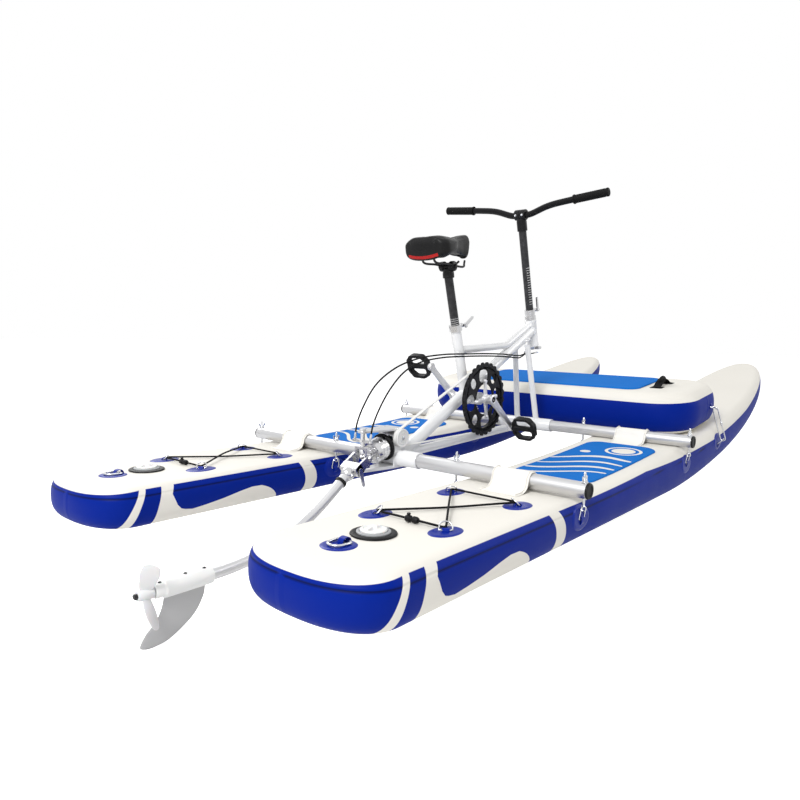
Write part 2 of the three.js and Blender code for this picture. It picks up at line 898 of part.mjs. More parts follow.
// A long link with round ends, from the platform's ring down to the pontoon's ring
function clipSolid(side) {
  const high = clipTop(side).add(platformRingOut(side));
  const low = clipFoot(side).add(hullRingOut(side)).add(point(0, side * hullY, 0));
  const up = high.clone().sub(low).normalize();
  const across = new THREE.Vector3().crossVectors(xAxis, up);
  const round = clip.width / 2;
  const run = high.distanceTo(low) / 2 + (clip.wire + wire) / 2 + gap * 3 - round;
  const middle = high.clone().lerp(low, half);
  const points = [];
  for (const way of [1, -1]) {
    for (let i = 0; i <= clip.steps; i += 1) {
      const angle = (i / clip.steps) * Math.PI;
      const spot = middle.clone().addScaledVector(up, way * (run + round * Math.sin(angle)));
      points.push(spot.addScaledVector(across, way * round * Math.cos(angle)));
    }
  }
  return hoop(points, clip.wire);
}

// Cross bar with its two hooked tie rods. The rods pass through it and carry wing nuts.
function barSolid(x, z, side) {
  const far = point(x, side * bar.end, z);
  const near = point(x, side * bar.root, z);
  const shell = rod(near, far, bar.diameter);
  const boreNear = point(x, side * (bar.root - overrun), z);
  const boreFar = point(x, side * (bar.end + overrun), z);
  const bore = rod(boreNear, boreFar, bar.diameter - bar.wall * 2);
  const rods = [hullY + hookOutset, hullY - hookOutset].map((y) => tieRodSolid(x, side * y, z));
  return union([shell.subtract(bore), ...rods]);
}

function tieRodSolid(x, y, z) {
  const eyeZ = hullLevel(x, hookLevelShare);
  const eyeTop = eyeZ + tieRod.eye * half;
  const top = z + bar.diameter / 2 + tieRod.topReach;
  const nutZ = z + bar.diameter / 2 - overrun * half;
  const shank = rod(point(x, y, eyeTop), point(x, y, top), tieRod.diameter, wireSides);
  const nut = rod(point(x, y, nutZ), point(x, y, nutZ + tieRod.nutHeight + overrun), tieRod.nut, wireSides);
  const wingTop = nutZ + tieRod.nutHeight * 2 + overrun;
  const wings = new THREE.Shape();
  wings.moveTo(x, nutZ + overrun);
  wings.lineTo(x + tieRod.wing / 2, wingTop - tieRod.nutHeight * half);
  wings.lineTo(x + tieRod.wing / 2, wingTop);
  wings.lineTo(x, nutZ + tieRod.nutHeight + overrun);
  wings.lineTo(x - tieRod.wing / 2, wingTop);
  wings.lineTo(x - tieRod.wing / 2, wingTop - tieRod.nutHeight * half);
  const wingPlate = sidePlate(wings, y - tieRod.diameter / 4, y + tieRod.diameter / 4);
  const points = [];
  for (let i = 0; i < tieRod.eyeSteps; i += 1) {
    const angle = (i / tieRod.eyeSteps) * 2 * Math.PI;
    points.push(point(x, y + (Math.sin(angle) * tieRod.eye) / 2, eyeZ + (Math.cos(angle) * tieRod.eye) / 2));
  }
  return union([shank, nut, wingPlate, hoop(points, tieRod.eyeWire)]);
}

function plugSolid(x, z, side) {
  const profile = [
    [0, 0],
    [bar.diameter / 2 - bar.wall - gap, 0],
    [bar.diameter / 2 - bar.wall - gap, bar.plugInsert],
    [bar.diameter / 2, bar.plugInsert],
    [bar.diameter / 2, bar.plugInsert + bar.plug * half],
    [bar.diameter / 2 - overrun, bar.plugInsert + bar.plug],
    [0, bar.plugInsert + bar.plug],
  ];
  const start = bar.end + gap - bar.plugInsert;
  return turned(point(x, side * start, z), point(x, side * (start + bar.plugInsert + bar.plug), z), profile);
}

// Fabric saddle over a bar: a half round that flares into two feet glued to the deck
function sleeveSolid(x, z, side) {
  const low = deckAt(x) + gap;
  const round = bar.diameter / 2 + sleeve.wall;
  const { foot, footHeight, shoulder, open } = sleeve;
  const sterner = deckAt(x - foot) + gap;
  const bower = deckAt(x + foot) + gap;
  const bend = low + footHeight * 2;
  const shape = new THREE.Shape();
  shape.moveTo(-foot, sterner);
  shape.lineTo(0, low);
  shape.lineTo(foot, bower);
  shape.lineTo(foot, bower + footHeight);
  shape.quadraticCurveTo(shoulder, bend, round * Math.cos(open), z + round * Math.sin(open));
  shape.absarc(0, z, round, open, Math.PI - open, false);
  shape.quadraticCurveTo(-shoulder, bend, -foot, sterner + footHeight);
  const body = sidePlate(shape, side * sleeve.y - sleeve.width / 2, side * sleeve.y + sleeve.width / 2);
  const reach = sleeve.width;
  const near = point(0, side * (sleeve.y - reach), z);
  const bore = rod(near, point(0, side * (sleeve.y + reach), z), bar.diameter + gap * 2);
  return body.subtract(bore).translate(x, 0, 0);
}

function onHead(reach) {
  return point(head.x - reach * Math.sin(head.lean), 0, head.z + reach * Math.cos(head.lean));
}

function onSeat(reach) {
  const along = seat.length + reach;
  return point(seat.footX - along * Math.sin(seat.lean), 0, seat.footZ + along * Math.cos(seat.lean));
}

// Welded frame in one piece, bored for the bars, the seat post, the steerer and the spindle
function mainFrameSolid() {
  const rear = point(0, 0, rearBarZ);
  const front = point(bar.frontX, 0, frontBarZ);
  const across = point(0, socket.length / 2, 0);
  const shellAcross = point(0, frame.shellWidth / 2, 0);
  const crankAxis = point(crankX, 0, crankZ);
  const downFoot = point(frame.downFootX, 0, frame.downFootZ);
  const topSeat = onSeat(-frame.topTubeSeatDrop);
  const bend = point(frame.topTubeBendX, 0, frame.topTubeBendZ);
  const lowerRear = point(frame.lowerFootX, 0, rearBarZ);
  const lowerFront = point(bar.frontX - frame.lowerFootX, 0, frontBarZ);
  const tubes = [
    rod(rear.clone().sub(across), rear.clone().add(across), socket.diameter),
    rod(front.clone().sub(across), front.clone().add(across), socket.diameter),
    rod(lowerRear, lowerFront, frame.lowerTube),
    rod(downFoot, onHead(-frame.downHeadDrop), frame.downTube),
    rod(onHead(-head.length), onHead(0), frame.headTube),
    rod(onSeat(-seat.length), onSeat(0), frame.seatTube),
    rod(topSeat, bend, frame.topTube),
    ball(bend, frame.topTube, tubeSides),
    rod(bend, onHead(-frame.topTubeHeadDrop), frame.topTube),
    rod(crankAxis.clone().sub(shellAcross), crankAxis.clone().add(shellAcross), frame.shell),
  ];
  for (const side of [port, starboard]) {
    const top = point(frame.strutTopX, (side * frame.strutTopSpread) / 2, frame.strutTopZ);
    const foot = point(bar.frontX, (side * frame.strutSpread) / 2, frontBarZ);
    tubes.push(rod(foot, top, frame.strut, pinSides + 2));
    tubes.push(cheekSolid(side));
  }
  tubes.push(footPlateSolid());
  const barBore = point(0, socket.length / 2 + overrun, 0);
  const boreSize = bar.diameter + gap * 2;
  const cuts = [
    rod(rear.clone().sub(barBore), rear.clone().add(barBore), boreSize),
    rod(front.clone().sub(barBore), front.clone().add(barBore), boreSize),
    rod(onHead(-head.length - overrun), onHead(overrun), running(head.steerer, tubeSides)),
    rod(onSeat(post.boreStop - seat.length), onSeat(overrun), post.diameter + gap * 2),
    crossRod(crankX, crankZ, frame.shellWidth, running(crank.spindle)),
  ];
  return union(tubes).subtract(union(cuts));
}

// Side cheek that carries the belt pulley's shaft above the rear socket
function cheekSolid(side) {
  const shape = new THREE.Shape();
  shape.moveTo(-cheek.footHalf, footPlate.z + footPlate.thick * half);
  shape.lineTo(cheek.footHalf, footPlate.z + footPlate.thick * half);
  shape.lineTo(cheek.footHalf, rearBarZ);
  shape.lineTo(pulley.x + cheek.boss, pulley.z);
  shape.lineTo(pulley.x + cheek.boss * half, cheek.top);
  shape.lineTo(pulley.x - cheek.boss, cheek.top);
  shape.lineTo(-cheek.footHalf, rearBarZ);
  const inner = side * cheek.inner;
  const outer = side * (cheek.inner + cheek.thick);
  const plate = sidePlate(shape, Math.min(inner, outer), Math.max(inner, outer));
  const reach = (cheek.inner + cheek.thick) * 2;
  const bore = crossRod(pulley.x, pulley.z, reach, running(pulley.shaft));
  return plate.subtract(bore);
}

// Plate under the rear socket: its tail holds the lower swivel pin
function footPlateSolid() {
  const shape = new THREE.Shape();
  shape.moveTo(cheek.footHalf, -footPlate.half);
  shape.lineTo(cheek.footHalf, footPlate.half);
  shape.lineTo(-cheek.footHalf, footPlate.half);
  shape.absarc(swivelX, 0, footPlate.tail, Math.PI / 2, 1.5 * Math.PI, false);
  shape.lineTo(-cheek.footHalf, -footPlate.half);
  const plate = levelPlate(shape, footPlate.z, footPlate.z + footPlate.thick);
  return plate.subtract(pinHole(footPlate.z, footPlate.thick));
}

function pinHole(low, thick) {
  const bottom = point(swivelX, 0, low - overrun);
  return rod(bottom, point(swivelX, 0, low + thick + overrun), running(yoke.pin), pinSides);
}

// Clamp collar round a tube's mouth, with the two lugs that its bolt draws together
function clampLugs(centre, up, outer, way) {
  const start = centre.clone().addScaledVector(way, outer / 2 - overrun);
  const end = start.clone().addScaledVector(way, collar.lug);
  const side = new THREE.Vector3().crossVectors(up, way).multiplyScalar(collar.lugWidth / 2);
  const lug = rod(start, end, collar.height * collar.lugShare, pinSides);
  const bolt = rod(end.clone().sub(side), end.clone().add(side), collar.height * collar.boltShare, pinSides);
  return lug.add(bolt);
}

function seatCollarSolid() {
  const inner = frame.seatTube / 2 + gap;
  const outer = inner + collar.wall;
  const lipInner = post.diameter / 2 + gap;
  const profile = [
    [inner, 0],
    [outer, 0],
    [outer, collar.height],
    [lipInner, collar.height],
    [lipInner, collar.height - collar.lip],
    [inner, collar.height - collar.lip],
    [inner, 0],
  ];
  const start = onSeat(gap - collar.height + collar.lip);
  const end = onSeat(gap + collar.lip);
  const way = xAxis.clone().applyAxisAngle(yAxis, -seat.lean);
  const ringBody = turned(start, end, profile);
  const along = end.clone().sub(start).normalize();
  const lugs = clampLugs(onSeat(-collar.height * half + collar.lip), along, outer * 2, way);
  const bore = rod(onSeat(-collar.height * 2), onSeat(gap), inner * 2);
  return ringBody.add(lugs.subtract(bore));
}

// Quick-release lever at the starboard end of a collar's bolt: its cam barrel and its blade
function leverSolid(pivot, pitch) {
  const blade = sidePlate(linkShape(lever.eye, lever.tip, lever.length), -lever.thick / 2, lever.thick / 2);
  const barrel = rod(point(0, 0, -lever.barrel / 2), point(0, 0, lever.barrel / 2), lever.eye, pinSides);
  return blade.add(barrel).transform(new THREE.Matrix4().makeRotationY(-pitch).setPosition(pivot).elements);
}

function leverSide() {
  return -(collar.lugWidth + lever.eye) / 2 - lever.play;
}

function seatLeverPivot() {
  const way = xAxis.clone().applyAxisAngle(yAxis, -seat.lean);
  const reach = frame.seatTube / 2 + gap + collar.wall - overrun + collar.lug;
  const pivot = onSeat(-collar.height * half + collar.lip).addScaledVector(way, reach);
  return pivot.setY(leverSide());
}

function seatPostSolid() {
  return rod(onSeat(-post.insert), onSeat(post.reach), post.diameter);
}

// Post head and the two wire rails that carry the saddle
function saddleMountSolid() {
  const top = onSeat(post.reach + gap);
  const centre = top.clone().setZ(top.z + rails.head * half);
  const width = point(0, rails.headWidth / 2, 0);
  const headBody = rod(centre.clone().sub(width), centre.clone().add(width), rails.head, pinSides);
  const cup = rod(onSeat(post.reach - collar.height), centre, post.diameter + collar.wall * 2);
  const cupLow = onSeat(post.reach - collar.height - overrun);
  const cupBore = rod(cupLow, onSeat(post.reach + gap), post.diameter + gap * 2);
  const wires = [port, starboard].map((side) => {
    const y = (side * rails.spread) / 2;
    const z = centre.z + rails.diameter * half;
    const rear = centre.x - rails.behind;
    const front = rear + rails.length;
    const seatZ = z + rails.rise;
    const noseY = y * rails.noseShare;
    const points = [
      point(rear - rails.rise, y, seatZ - rails.rise * Math.sin(saddle.pitch)),
      point(rear - rails.rise * half, y, z + rails.rise * half),
      point(rear, y, z),
      point(front, y, z),
      point(front + rails.rise * half, (y + noseY) * half, z + rails.rise * half),
      point(front + rails.rise, noseY, seatZ),
    ];
    const curve = new THREE.CatmullRomCurve3(points, false, 'catmullrom', half);
    return tube(curve, rails.diameter, rails.steps, rails.sides);
  });
  return union([headBody, cup.subtract(cupBore), ...wires]);
}

// Saddle lofted from rear to nose: each section has a crown, drawn-in sides and a flatter underside
function saddleSolid() {
  const top = onSeat(post.reach);
  const rings = saddle.placeShares.map((place, i) => {
    const x = saddle.length * place - saddle.behind;
    const w = (saddle.width / 2) * saddle.widthShares[i];
    const ringPoints = [];
    for (let k = 0; k < saddle.sides; k += 1) {
      const angle = (k / saddle.sides) * 2 * Math.PI;
      const c = Math.cos(angle);
      const s = Math.sin(angle);
      const crown = saddle.crownShares[i] * saddle.crownShare;
      const drop = saddle.dropShares[i] * (1 - saddle.crownShare);
      const tall = (s > 0 ? crown : drop) * saddle.height;
      const y = w * Math.sign(c) * Math.abs(c) ** pontoon.railShare;
      ringPoints.push(point(x, y, tall * Math.sign(s) * Math.abs(s) ** (s > 0 ? 1 : half)));
    }
    return ringPoints;
  });
  const place = new THREE.Matrix4().makeTranslation(top.x, 0, top.z + saddle.lift + saddle.height * half);
  return loft(rings).transform(place.multiply(new THREE.Matrix4().makeRotationY(-saddle.pitch)).elements);
}

// Steerer with the cross arm that pulls the cables
function steererSolid() {
  const low = -head.length - gap - steerArm.drop - steerArm.thick;
  const top = heightCollar.lowerHeight;
  const shell = rod(onHead(low), onHead(top), head.steerer);
  const armTop = onHead(-head.length - gap - steerArm.drop * half);
  const armLow = onHead(low);
  const shape = roundedRectangle(steerArm.width, steerArm.half * 2, steerArm.width * half - gap);
  const thick = armTop.distanceTo(armLow);
  const arm = levelPlate(shape, 0, thick);
  const lean = new THREE.Matrix4().makeRotationY(-head.lean).setPosition(armLow);
  const cut = rod(onHead(low - overrun), onHead(top + overrun), stem.diameter + gap * 2);
  return shell.add(arm.transform(lean.elements)).subtract(cut);
}

function heightCollarSolid() {
  const { lower, waist, upper, lowerHeight, waistHeight, upperHeight } = heightCollar;
  const inner = head.steerer / 2 + gap;
  const stemInner = stem.diameter / 2 + gap;
  const reach = lowerHeight + waistHeight + upperHeight;
  const profile = [
    [inner, 0],
    [lower / 2, 0],
    [lower / 2, lowerHeight],
    [waist / 2, lowerHeight + gap],
    [waist / 2, lowerHeight + waistHeight - gap],
    [upper / 2, lowerHeight + waistHeight],
    [upper / 2, reach],
    [stemInner, reach],
    [stemInner, lowerHeight + gap],
    [inner, lowerHeight + gap],
    [inner, 0],
  ];
  const start = onHead(gap);
  const end = onHead(gap + reach);
  const way = xAxis.clone().applyAxisAngle(yAxis, -head.lean);
  const up = end.clone().sub(start).normalize();
  const middle = onHead(gap + lowerHeight + waistHeight + upperHeight * half);
  const lugs = clampLugs(middle, up, upper, way);
  const bore = rod(onHead(gap), onHead(gap + reach + overrun), stemInner * 2);
  return turned(start, end, profile).add(lugs.subtract(bore));
}

function heightLeverPivot() {
  const way = xAxis.clone().applyAxisAngle(yAxis, -head.lean);
  const { lowerHeight, waistHeight, upperHeight, upper } = heightCollar;
  const middle = onHead(gap + lowerHeight + waistHeight + upperHeight * half);
  const pivot = middle.addScaledVector(way, upper / 2 - overrun + collar.lug);
  return pivot.setY(leverSide());
}

function stemSolid() {
  return rod(onHead(-stem.insert), onHead(stem.reach), stem.diameter);
}

function barCentre() {
  return onHead(stem.axisReach);
}

function barClampSolid() {
  const centre = barCentre();
  const width = point(0, barClamp.width / 2, 0);
  const shell = rod(centre.clone().sub(width), centre.clone().add(width), barClamp.diameter);
  const cup = rod(onHead(stem.reach - barClamp.socket), centre, stem.diameter + barClamp.wall * 2 + gap * 2);
  const cupLow = onHead(stem.reach - barClamp.socket - overrun);
  const cupBore = rod(cupLow, onHead(stem.reach + gap), stem.diameter + gap * 2);
  const boreLow = centre.clone().sub(width).sub(width);
  const barBore = rod(boreLow, centre.clone().add(width).add(width), handlebar.diameter + gap * 2);
  return shell.add(cup).subtract(cupBore.add(barBore));
}

function barSpot(y, rise) {
  const centre = barCentre();
  return point(centre.x, y, centre.z + rise);
}

// The bar is one bent tube: level in the clamp, then up and out to each grip
function handlebarSolid() {
  const { centreHalf, bendHalf, bendRise, half: reach, rise, easeShare } = handlebar;
  const wing = (side) => {
    const bend = barSpot(side * bendHalf, bendRise);
    const end = barSpot(side * reach, rise);
    const inner = bend.clone().lerp(barSpot(side * centreHalf, 0), easeShare);
    return [inner, bend.clone().lerp(end, easeShare), end];
  };
  const path = [
    ...wing(starboard).reverse(),
    barSpot(-centreHalf, 0),
    barSpot(0, 0),
    barSpot(centreHalf, 0),
    ...wing(port),
  ];
  const curve = new THREE.CatmullRomCurve3(path, false, 'catmullrom', half);
  return tube(curve, handlebar.diameter, handlebar.steps, tubeSides);
}

function gripSolid(side) {
  const bend = barSpot(side * handlebar.bendHalf, handlebar.bendRise);
  const end = barSpot(side * handlebar.half, handlebar.rise);
  const way = end.clone().sub(bend).normalize();
  const start = end.clone().addScaledVector(way, -grip.length);
  const tip = end.clone().addScaledVector(way, gap + overrun);
  const body = rod(start, tip, grip.diameter, tubeSides, grip.diameter - overrun);
  const bore = rod(bend, end.clone().addScaledVector(way, gap), handlebar.diameter + gap * 2);
  return body.subtract(bore);
}

// A crank arm drawn along +X from its axis, on the side given
function crankArm(side) {
  const inner = side * (crank.plane - crank.thick / 2);
  const outer = side * (crank.plane + crank.thick / 2);
  const low = Math.min(inner, outer);
  const arm = sidePlate(linkShape(crank.hub, crank.eye, crank.length), low, low + crank.thick);
  const reach = side * (crank.plane + pedal.offset + pedal.width / 2 + overrun);
  const axle = rod(point(crank.length, outer, 0), point(crank.length, reach, 0), pedal.spindle, pinSides);
  return arm.add(axle);
}

function atCrank(body, angle) {
  const place = new THREE.Matrix4().makeRotationY(angle).setPosition(crankX, 0, crankZ);
  return body.transform(place.elements);
}

function crankRightSolid() {
  const spiderOuter = -(ring.plane + ring.guard + gap);
  const hub = rod(point(0, spiderOuter, 0), point(0, -crank.plane, 0), crank.hub);
  const arms = [];
  for (let i = 0; i < crank.spiderArms; i += 1) {
    const angle = ((i + half) / crank.spiderArms) * 2 * Math.PI;
    const shape = linkShape(crank.spiderRoot, crank.spiderWidth, crank.spiderReach);
    const arm = sidePlate(shape, spiderOuter - crank.spiderThick, spiderOuter);
    arms.push(arm.transform(new THREE.Matrix4().makeRotationY(angle).elements));
  }
  const bore = rod(point(0, 0, 0), point(0, -crank.plane, 0), crank.spindle + gap * 2, pinSides);
  return atCrank(union([crankArm(starboard), hub, ...arms]).subtract(bore), crank.angle);
}

function crankLeftSolid() {
  const spindle = rod(point(0, crank.plane, 0), point(0, gap - crank.plane, 0), crank.spindle, pinSides);
  const hub = rod(point(0, crank.plane, 0), point(0, frame.shellWidth / 2 + gap, 0), crank.hub);
  return atCrank(union([crankArm(port), spindle, hub]), crank.angle + Math.PI);
}

// Toothed guard ring with oval windows, and the belt's track on its inner face
function chainringSolid() {
  const outline = [];
  for (let i = 0; i < ring.knobs; i += 1) {
    const pitch = (2 * Math.PI) / ring.knobs;
    for (const [share, level] of ring.knobShares) {
      const radius = ring.root + (ring.tip - ring.root) * level;
      const angle = (i + share) * pitch;
      outline.push(new THREE.Vector2(Math.cos(angle), Math.sin(angle)).multiplyScalar(radius));
    }
  }
  const shape = new THREE.Shape(outline);
  shape.holes.push(new THREE.Path(circle(ring.inner, tubeSides).getPoints()));
  for (let i = 0; i < ring.windowPairs; i += 1) {
    for (const window of ring.windows) {
      shape.holes.push(windowPath(window, ((i + window.turnShare) / ring.windowPairs) * 2 * Math.PI));
    }
  }
  const guard = sidePlate(shape, -ring.plane - ring.guard, -ring.plane);
  const trackInner = ring.track - ring.trackWall;
  const profile = [
    [trackInner, 0],
    [ring.track, 0],
    [ring.track, ring.trackWidth + half],
    [trackInner, ring.trackWidth + half],
    [trackInner, 0],
  ];
  const start = point(0, ring.trackWidth - ring.plane, 0);
  const track = turned(start, point(0, -ring.plane - half, 0), profile, ring.sides);
  return atCrank(guard.add(track), crank.angle);
}

function windowPath(window, angle) {
  const long = window.length / 2;
  const wide = window.width / 2;
  const outline = [];
  for (let i = 0; i < pinSides; i += 1) {
    const turn = (i / pinSides) * 2 * Math.PI;
    const spot = new THREE.Vector2(window.radius + wide * Math.cos(turn), long * Math.sin(turn));
    outline.push(spot.rotateAround(new THREE.Vector2(), angle));
  }
  return new THREE.Path(outline);
}

function pedalCentre(side) {
  const angle = side === starboard ? crank.angle : crank.angle + Math.PI;
  const x = crankX + crank.length * Math.cos(angle);
  return point(x, side * (crank.plane + pedal.offset), crankZ - crank.length * Math.sin(angle));
}

// Cage pedal: a chamfered frame with two windows either side of the barrel, its front edge hanging down
function pedalSolid(side) {
  const long = pedal.length / 2;
  const wide = pedal.width / 2;
  const shape = new THREE.Shape();
  shape.moveTo(long, wide - pedal.chamfer);
  shape.lineTo(long - pedal.chamfer, wide);
  shape.lineTo(pedal.chamfer - long, wide);
  shape.lineTo(-long, wide - pedal.chamfer);
  shape.lineTo(-long, pedal.chamfer - wide);
  shape.lineTo(pedal.chamfer - long, -wide);
  shape.lineTo(long - pedal.chamfer, -wide);
  shape.lineTo(long, pedal.chamfer - wide);
  const windows = [1, -1].map((way) => {
    const near = way * pedal.barrel * half;
    const far = way * (long - pedal.rim);
    const hole = new THREE.Shape();
    hole.moveTo(near, wide - pedal.rim);
    hole.lineTo(near, pedal.rim - wide);
    hole.lineTo(far - way * pedal.rim, pedal.rim - wide);
    hole.lineTo(far, pedal.chamfer - wide);
    hole.lineTo(far, wide - pedal.chamfer);
    hole.lineTo(far - way * pedal.rim, wide - pedal.rim);
    return levelPlate(hole, -pedal.thick, pedal.thick);
  });
  const cage = levelPlate(shape, -pedal.thick / 2, pedal.thick / 2).subtract(union(windows));
  const barrel = rod(point(0, -wide, 0), point(0, wide, 0), pedal.barrel, pinSides);
  const bore = crossRod(0, 0, wide + overrun, running(pedal.spindle));
  const centre = pedalCentre(side);
  const turn = new THREE.Matrix4().makeRotationY(pedal.pitch).setPosition(centre);
  return cage.add(barrel).subtract(bore).transform(turn.elements);
}

// The loop that a belt takes round the ring's track and the pulley, set out by a distance
function beltLoop(outset) {
  const big = ring.track + outset;
  const small = pulley.track + outset;
  const dx = pulley.x - crankX;
  const dz = pulley.z - crankZ;
  const bearing = Math.atan2(dz, dx);
  const open = Math.acos((big - small) / Math.hypot(dx, dz));
  const path = new THREE.Shape();
  path.absarc(crankX, crankZ, big, bearing + open, bearing - open + 2 * Math.PI, false);
  path.absarc(pulley.x, pulley.z, small, bearing - open, bearing + open, false);
  path.closePath();
  return path;
}

function beltSolid() {
  const divisions = belt.steps * half;
  const outer = new THREE.Shape(beltLoop(belt.play + belt.thick).getPoints(divisions));
  outer.holes.push(new THREE.Path(beltLoop(belt.play).getPoints(divisions)));
  const middle = -(ring.plane - ring.trackWidth / 2);
  return sidePlate(outer, middle - belt.width / 2, middle + belt.width / 2);
}

function pulleySolid() {
  const outer = -(ring.plane + pulley.flangeWidth);
  const inner = -(cheek.inner + cheek.thick + gap);
  const trackWidth = outer + pulley.flangeWidth - inner;
  const profile = [
    [0, 0],
    [pulley.flange, 0],
    [pulley.flange, pulley.flangeWidth - gap],
    [pulley.track, pulley.flangeWidth],
    [pulley.track, pulley.flangeWidth - trackWidth],
    [pulley.shaft / 2, pulley.flangeWidth - trackWidth],
    [pulley.shaft / 2, cheek.inner + cheek.thick + gap - outer],
    [pulley.shaft / 2 + overrun, cheek.inner + cheek.thick + gap - outer],
    [pulley.shaft / 2 + overrun, cheek.inner + cheek.thick + gap + pulley.collarWidth - outer],
    [0, cheek.inner + cheek.thick + gap + pulley.collarWidth - outer],
  ];
  const start = point(pulley.x, outer, pulley.z);
  const end = point(pulley.x, cheek.inner + cheek.thick + gap + pulley.collarWidth, pulley.z);
  return turned(start, end, profile, tubeSides);
}

const swivel = point(swivelX, 0, swivelZ);

// A point on the gearbox's output axis, given by its X. The axis runs down to the swivel.
function onGearAxis(x) {
  const rise = pulley.z - gearbox.cross - swivelZ;
  return point(x, 0, swivelZ + (rise * (x - swivelX)) / (pulley.x - swivelX));
}

function gearboxSolid() {
  const cross = rod(
    point(pulley.x, -gearbox.crossHalf, pulley.z),
    point(pulley.x, gearbox.crossHalf, pulley.z),
    gearbox.cross * 2,
  );
  const flangeEnd = gearbox.flangeX - gearbox.flangeWidth;
  const barrelEnd = flangeEnd - gap - gearbox.barrelWidth;
  const neck = rod(onGearAxis(gearbox.neckX), onGearAxis(flangeEnd - overrun), gearbox.neck * 2);
  const throat = rod(onGearAxis(pulley.x), onGearAxis(flangeEnd), gearbox.throat * 2);
  const start = onGearAxis(flangeEnd - gap);
  const end = onGearAxis(barrelEnd);
  const run = start.distanceTo(end);
  const shell = turned(start, end, [
    [0, 0],
    [gearbox.barrel, 0],
    [gearbox.barrel, run - gearbox.barrelLip],
    [gearbox.barrel - gearbox.barrelLip, run],
    [0, run],
  ]);
  const noseEnd = onGearAxis(barrelEnd - gearbox.noseLength);
  const nose = rod(onGearAxis(barrelEnd + overrun), noseEnd, gearbox.nose * 2);
  const boreReach = gearbox.noseLength * 2;
  const noseFar = onGearAxis(barrelEnd - boreReach);
  const bores = [
    crossRod(pulley.x, pulley.z, cheek.inner, running(pulley.shaft)),
    rod(onGearAxis(barrelEnd + boreReach), noseFar, running(shaftDiameter), pinSides),
  ];
  return union([cross, throat, neck, shell, nose]).subtract(union(bores));
}

function gearboxFlangeSolid() {
  const start = onGearAxis(gearbox.flangeX);
  const end = onGearAxis(gearbox.flangeX - gearbox.flangeWidth);
  const run = start.distanceTo(end);
  const profile = [
    [gearbox.neck + gap, 0],
    [gearbox.flange - overrun, 0],
    [gearbox.flange, overrun],
    [gearbox.flange, run],
    [gearbox.neck + gap, run],
    [gearbox.neck + gap, 0],
  ];
  return turned(start, end, profile);
}

// Output shaft that ends in the ball of the drive joint, inside the yoke
function outputShaftSolid() {
  const barrelEnd = gearbox.flangeX - gearbox.flangeWidth - gap - gearbox.barrelWidth;
  const start = onGearAxis(barrelEnd + gearbox.noseLength);
  return rod(start, swivel, shaftDiameter, pinSides).add(ball(swivel, jointBall, pinSides));
}

function swivelPlateSolid() {
  const tail = swivelPlate.overhang;
  const shape = new THREE.Shape();
  shape.moveTo(swivelPlate.frontX, -swivelPlate.frontHalf);
  shape.lineTo(swivelPlate.frontX, swivelPlate.frontHalf);
  shape.lineTo(gearbox.flangeX, swivelPlate.frontHalf);
  shape.absarc(swivelX, 0, tail, Math.PI / 2, 1.5 * Math.PI, false);
  shape.lineTo(gearbox.flangeX, -swivelPlate.frontHalf);
  const place = new THREE.Vector2(swivelPlate.holeX, 0);
  const hole = circle(swivelPlate.hole, pinSides).getPoints().map((spot) => spot.clone().add(place));
  shape.holes.push(new THREE.Path(hole));
  const plate = levelPlate(shape, swivelPlate.z, swivelPlate.z + swivelPlate.thick);
  return plate.subtract(pinHole(swivelPlate.z, swivelPlate.thick));
}

// Steering yoke: a window frame round the drive joint, its pins and the tiller arms
function yokeSolid() {
  const outer = point(yoke.depth / 2, yoke.halfWidth, yoke.halfHeight);
  const inner = point(yoke.depth, yoke.halfWidth - yoke.wall, yoke.halfHeight - yoke.wall);
  const ringBody = block(swivel.clone().sub(outer), swivel.clone().add(outer));
  const window = block(swivel.clone().sub(inner), swivel.clone().add(inner));
  const top = swivelPlate.z + swivelPlate.thick + gap;
  const pinTop = point(swivelX, 0, top);
  const topPin = rod(point(swivelX, 0, swivelZ + yoke.halfHeight - overrun), pinTop, yoke.pin, pinSides);
  const cap = rod(pinTop, point(swivelX, 0, top + yoke.depth / 2), yoke.pinHead, pinSides);
  const lowEnd = point(swivelX, 0, footPlate.z);
  const lowPin = rod(lowEnd, point(swivelX, 0, swivelZ - yoke.halfHeight + overrun), yoke.pin, pinSides);
  const side = yoke.halfWidth + leg.ear + gap * 2 + overrun;
  const sidePins = [port, starboard].map((way) => {
    const near = point(swivelX, way * (yoke.halfWidth - overrun), swivelZ);
    return rod(near, point(swivelX, way * side, swivelZ), yoke.sidePin, pinSides);
  });
  const arm = roundedRectangle(tiller.width, tiller.half * 2, tiller.width * half - gap);
  const bossShape = circle(tiller.boss, tubeSides);
  const armBody = levelPlate(arm, tiller.z, tiller.z + tiller.thick).translate(swivelX, 0, 0);
  const boss = levelPlate(bossShape, tiller.z, tiller.z + tiller.thick).translate(swivelX, 0, 0);
  return union([ringBody.subtract(window), topPin, cap, lowPin, ...sidePins, armBody, boss]);
}

// A point of the leg, reach along its axis from the swivel and rise square to it
function onLeg(reach, rise = 0) {
  const x = swivelX - reach * Math.cos(leg.pitch) - rise * Math.sin(leg.pitch);
  return point(x, 0, swivelZ - reach * Math.sin(leg.pitch) + rise * Math.cos(leg.pitch));
}

function legCentre(turn) {
  const start = onLeg(leg.straight);
  const x = start.x - leg.bend * (Math.sin(leg.pitch) - Math.sin(turn));
  return point(x, 0, start.z - leg.bend * (Math.cos(turn) - Math.cos(leg.pitch)));
}

const tailZ = legCentre(0).z;

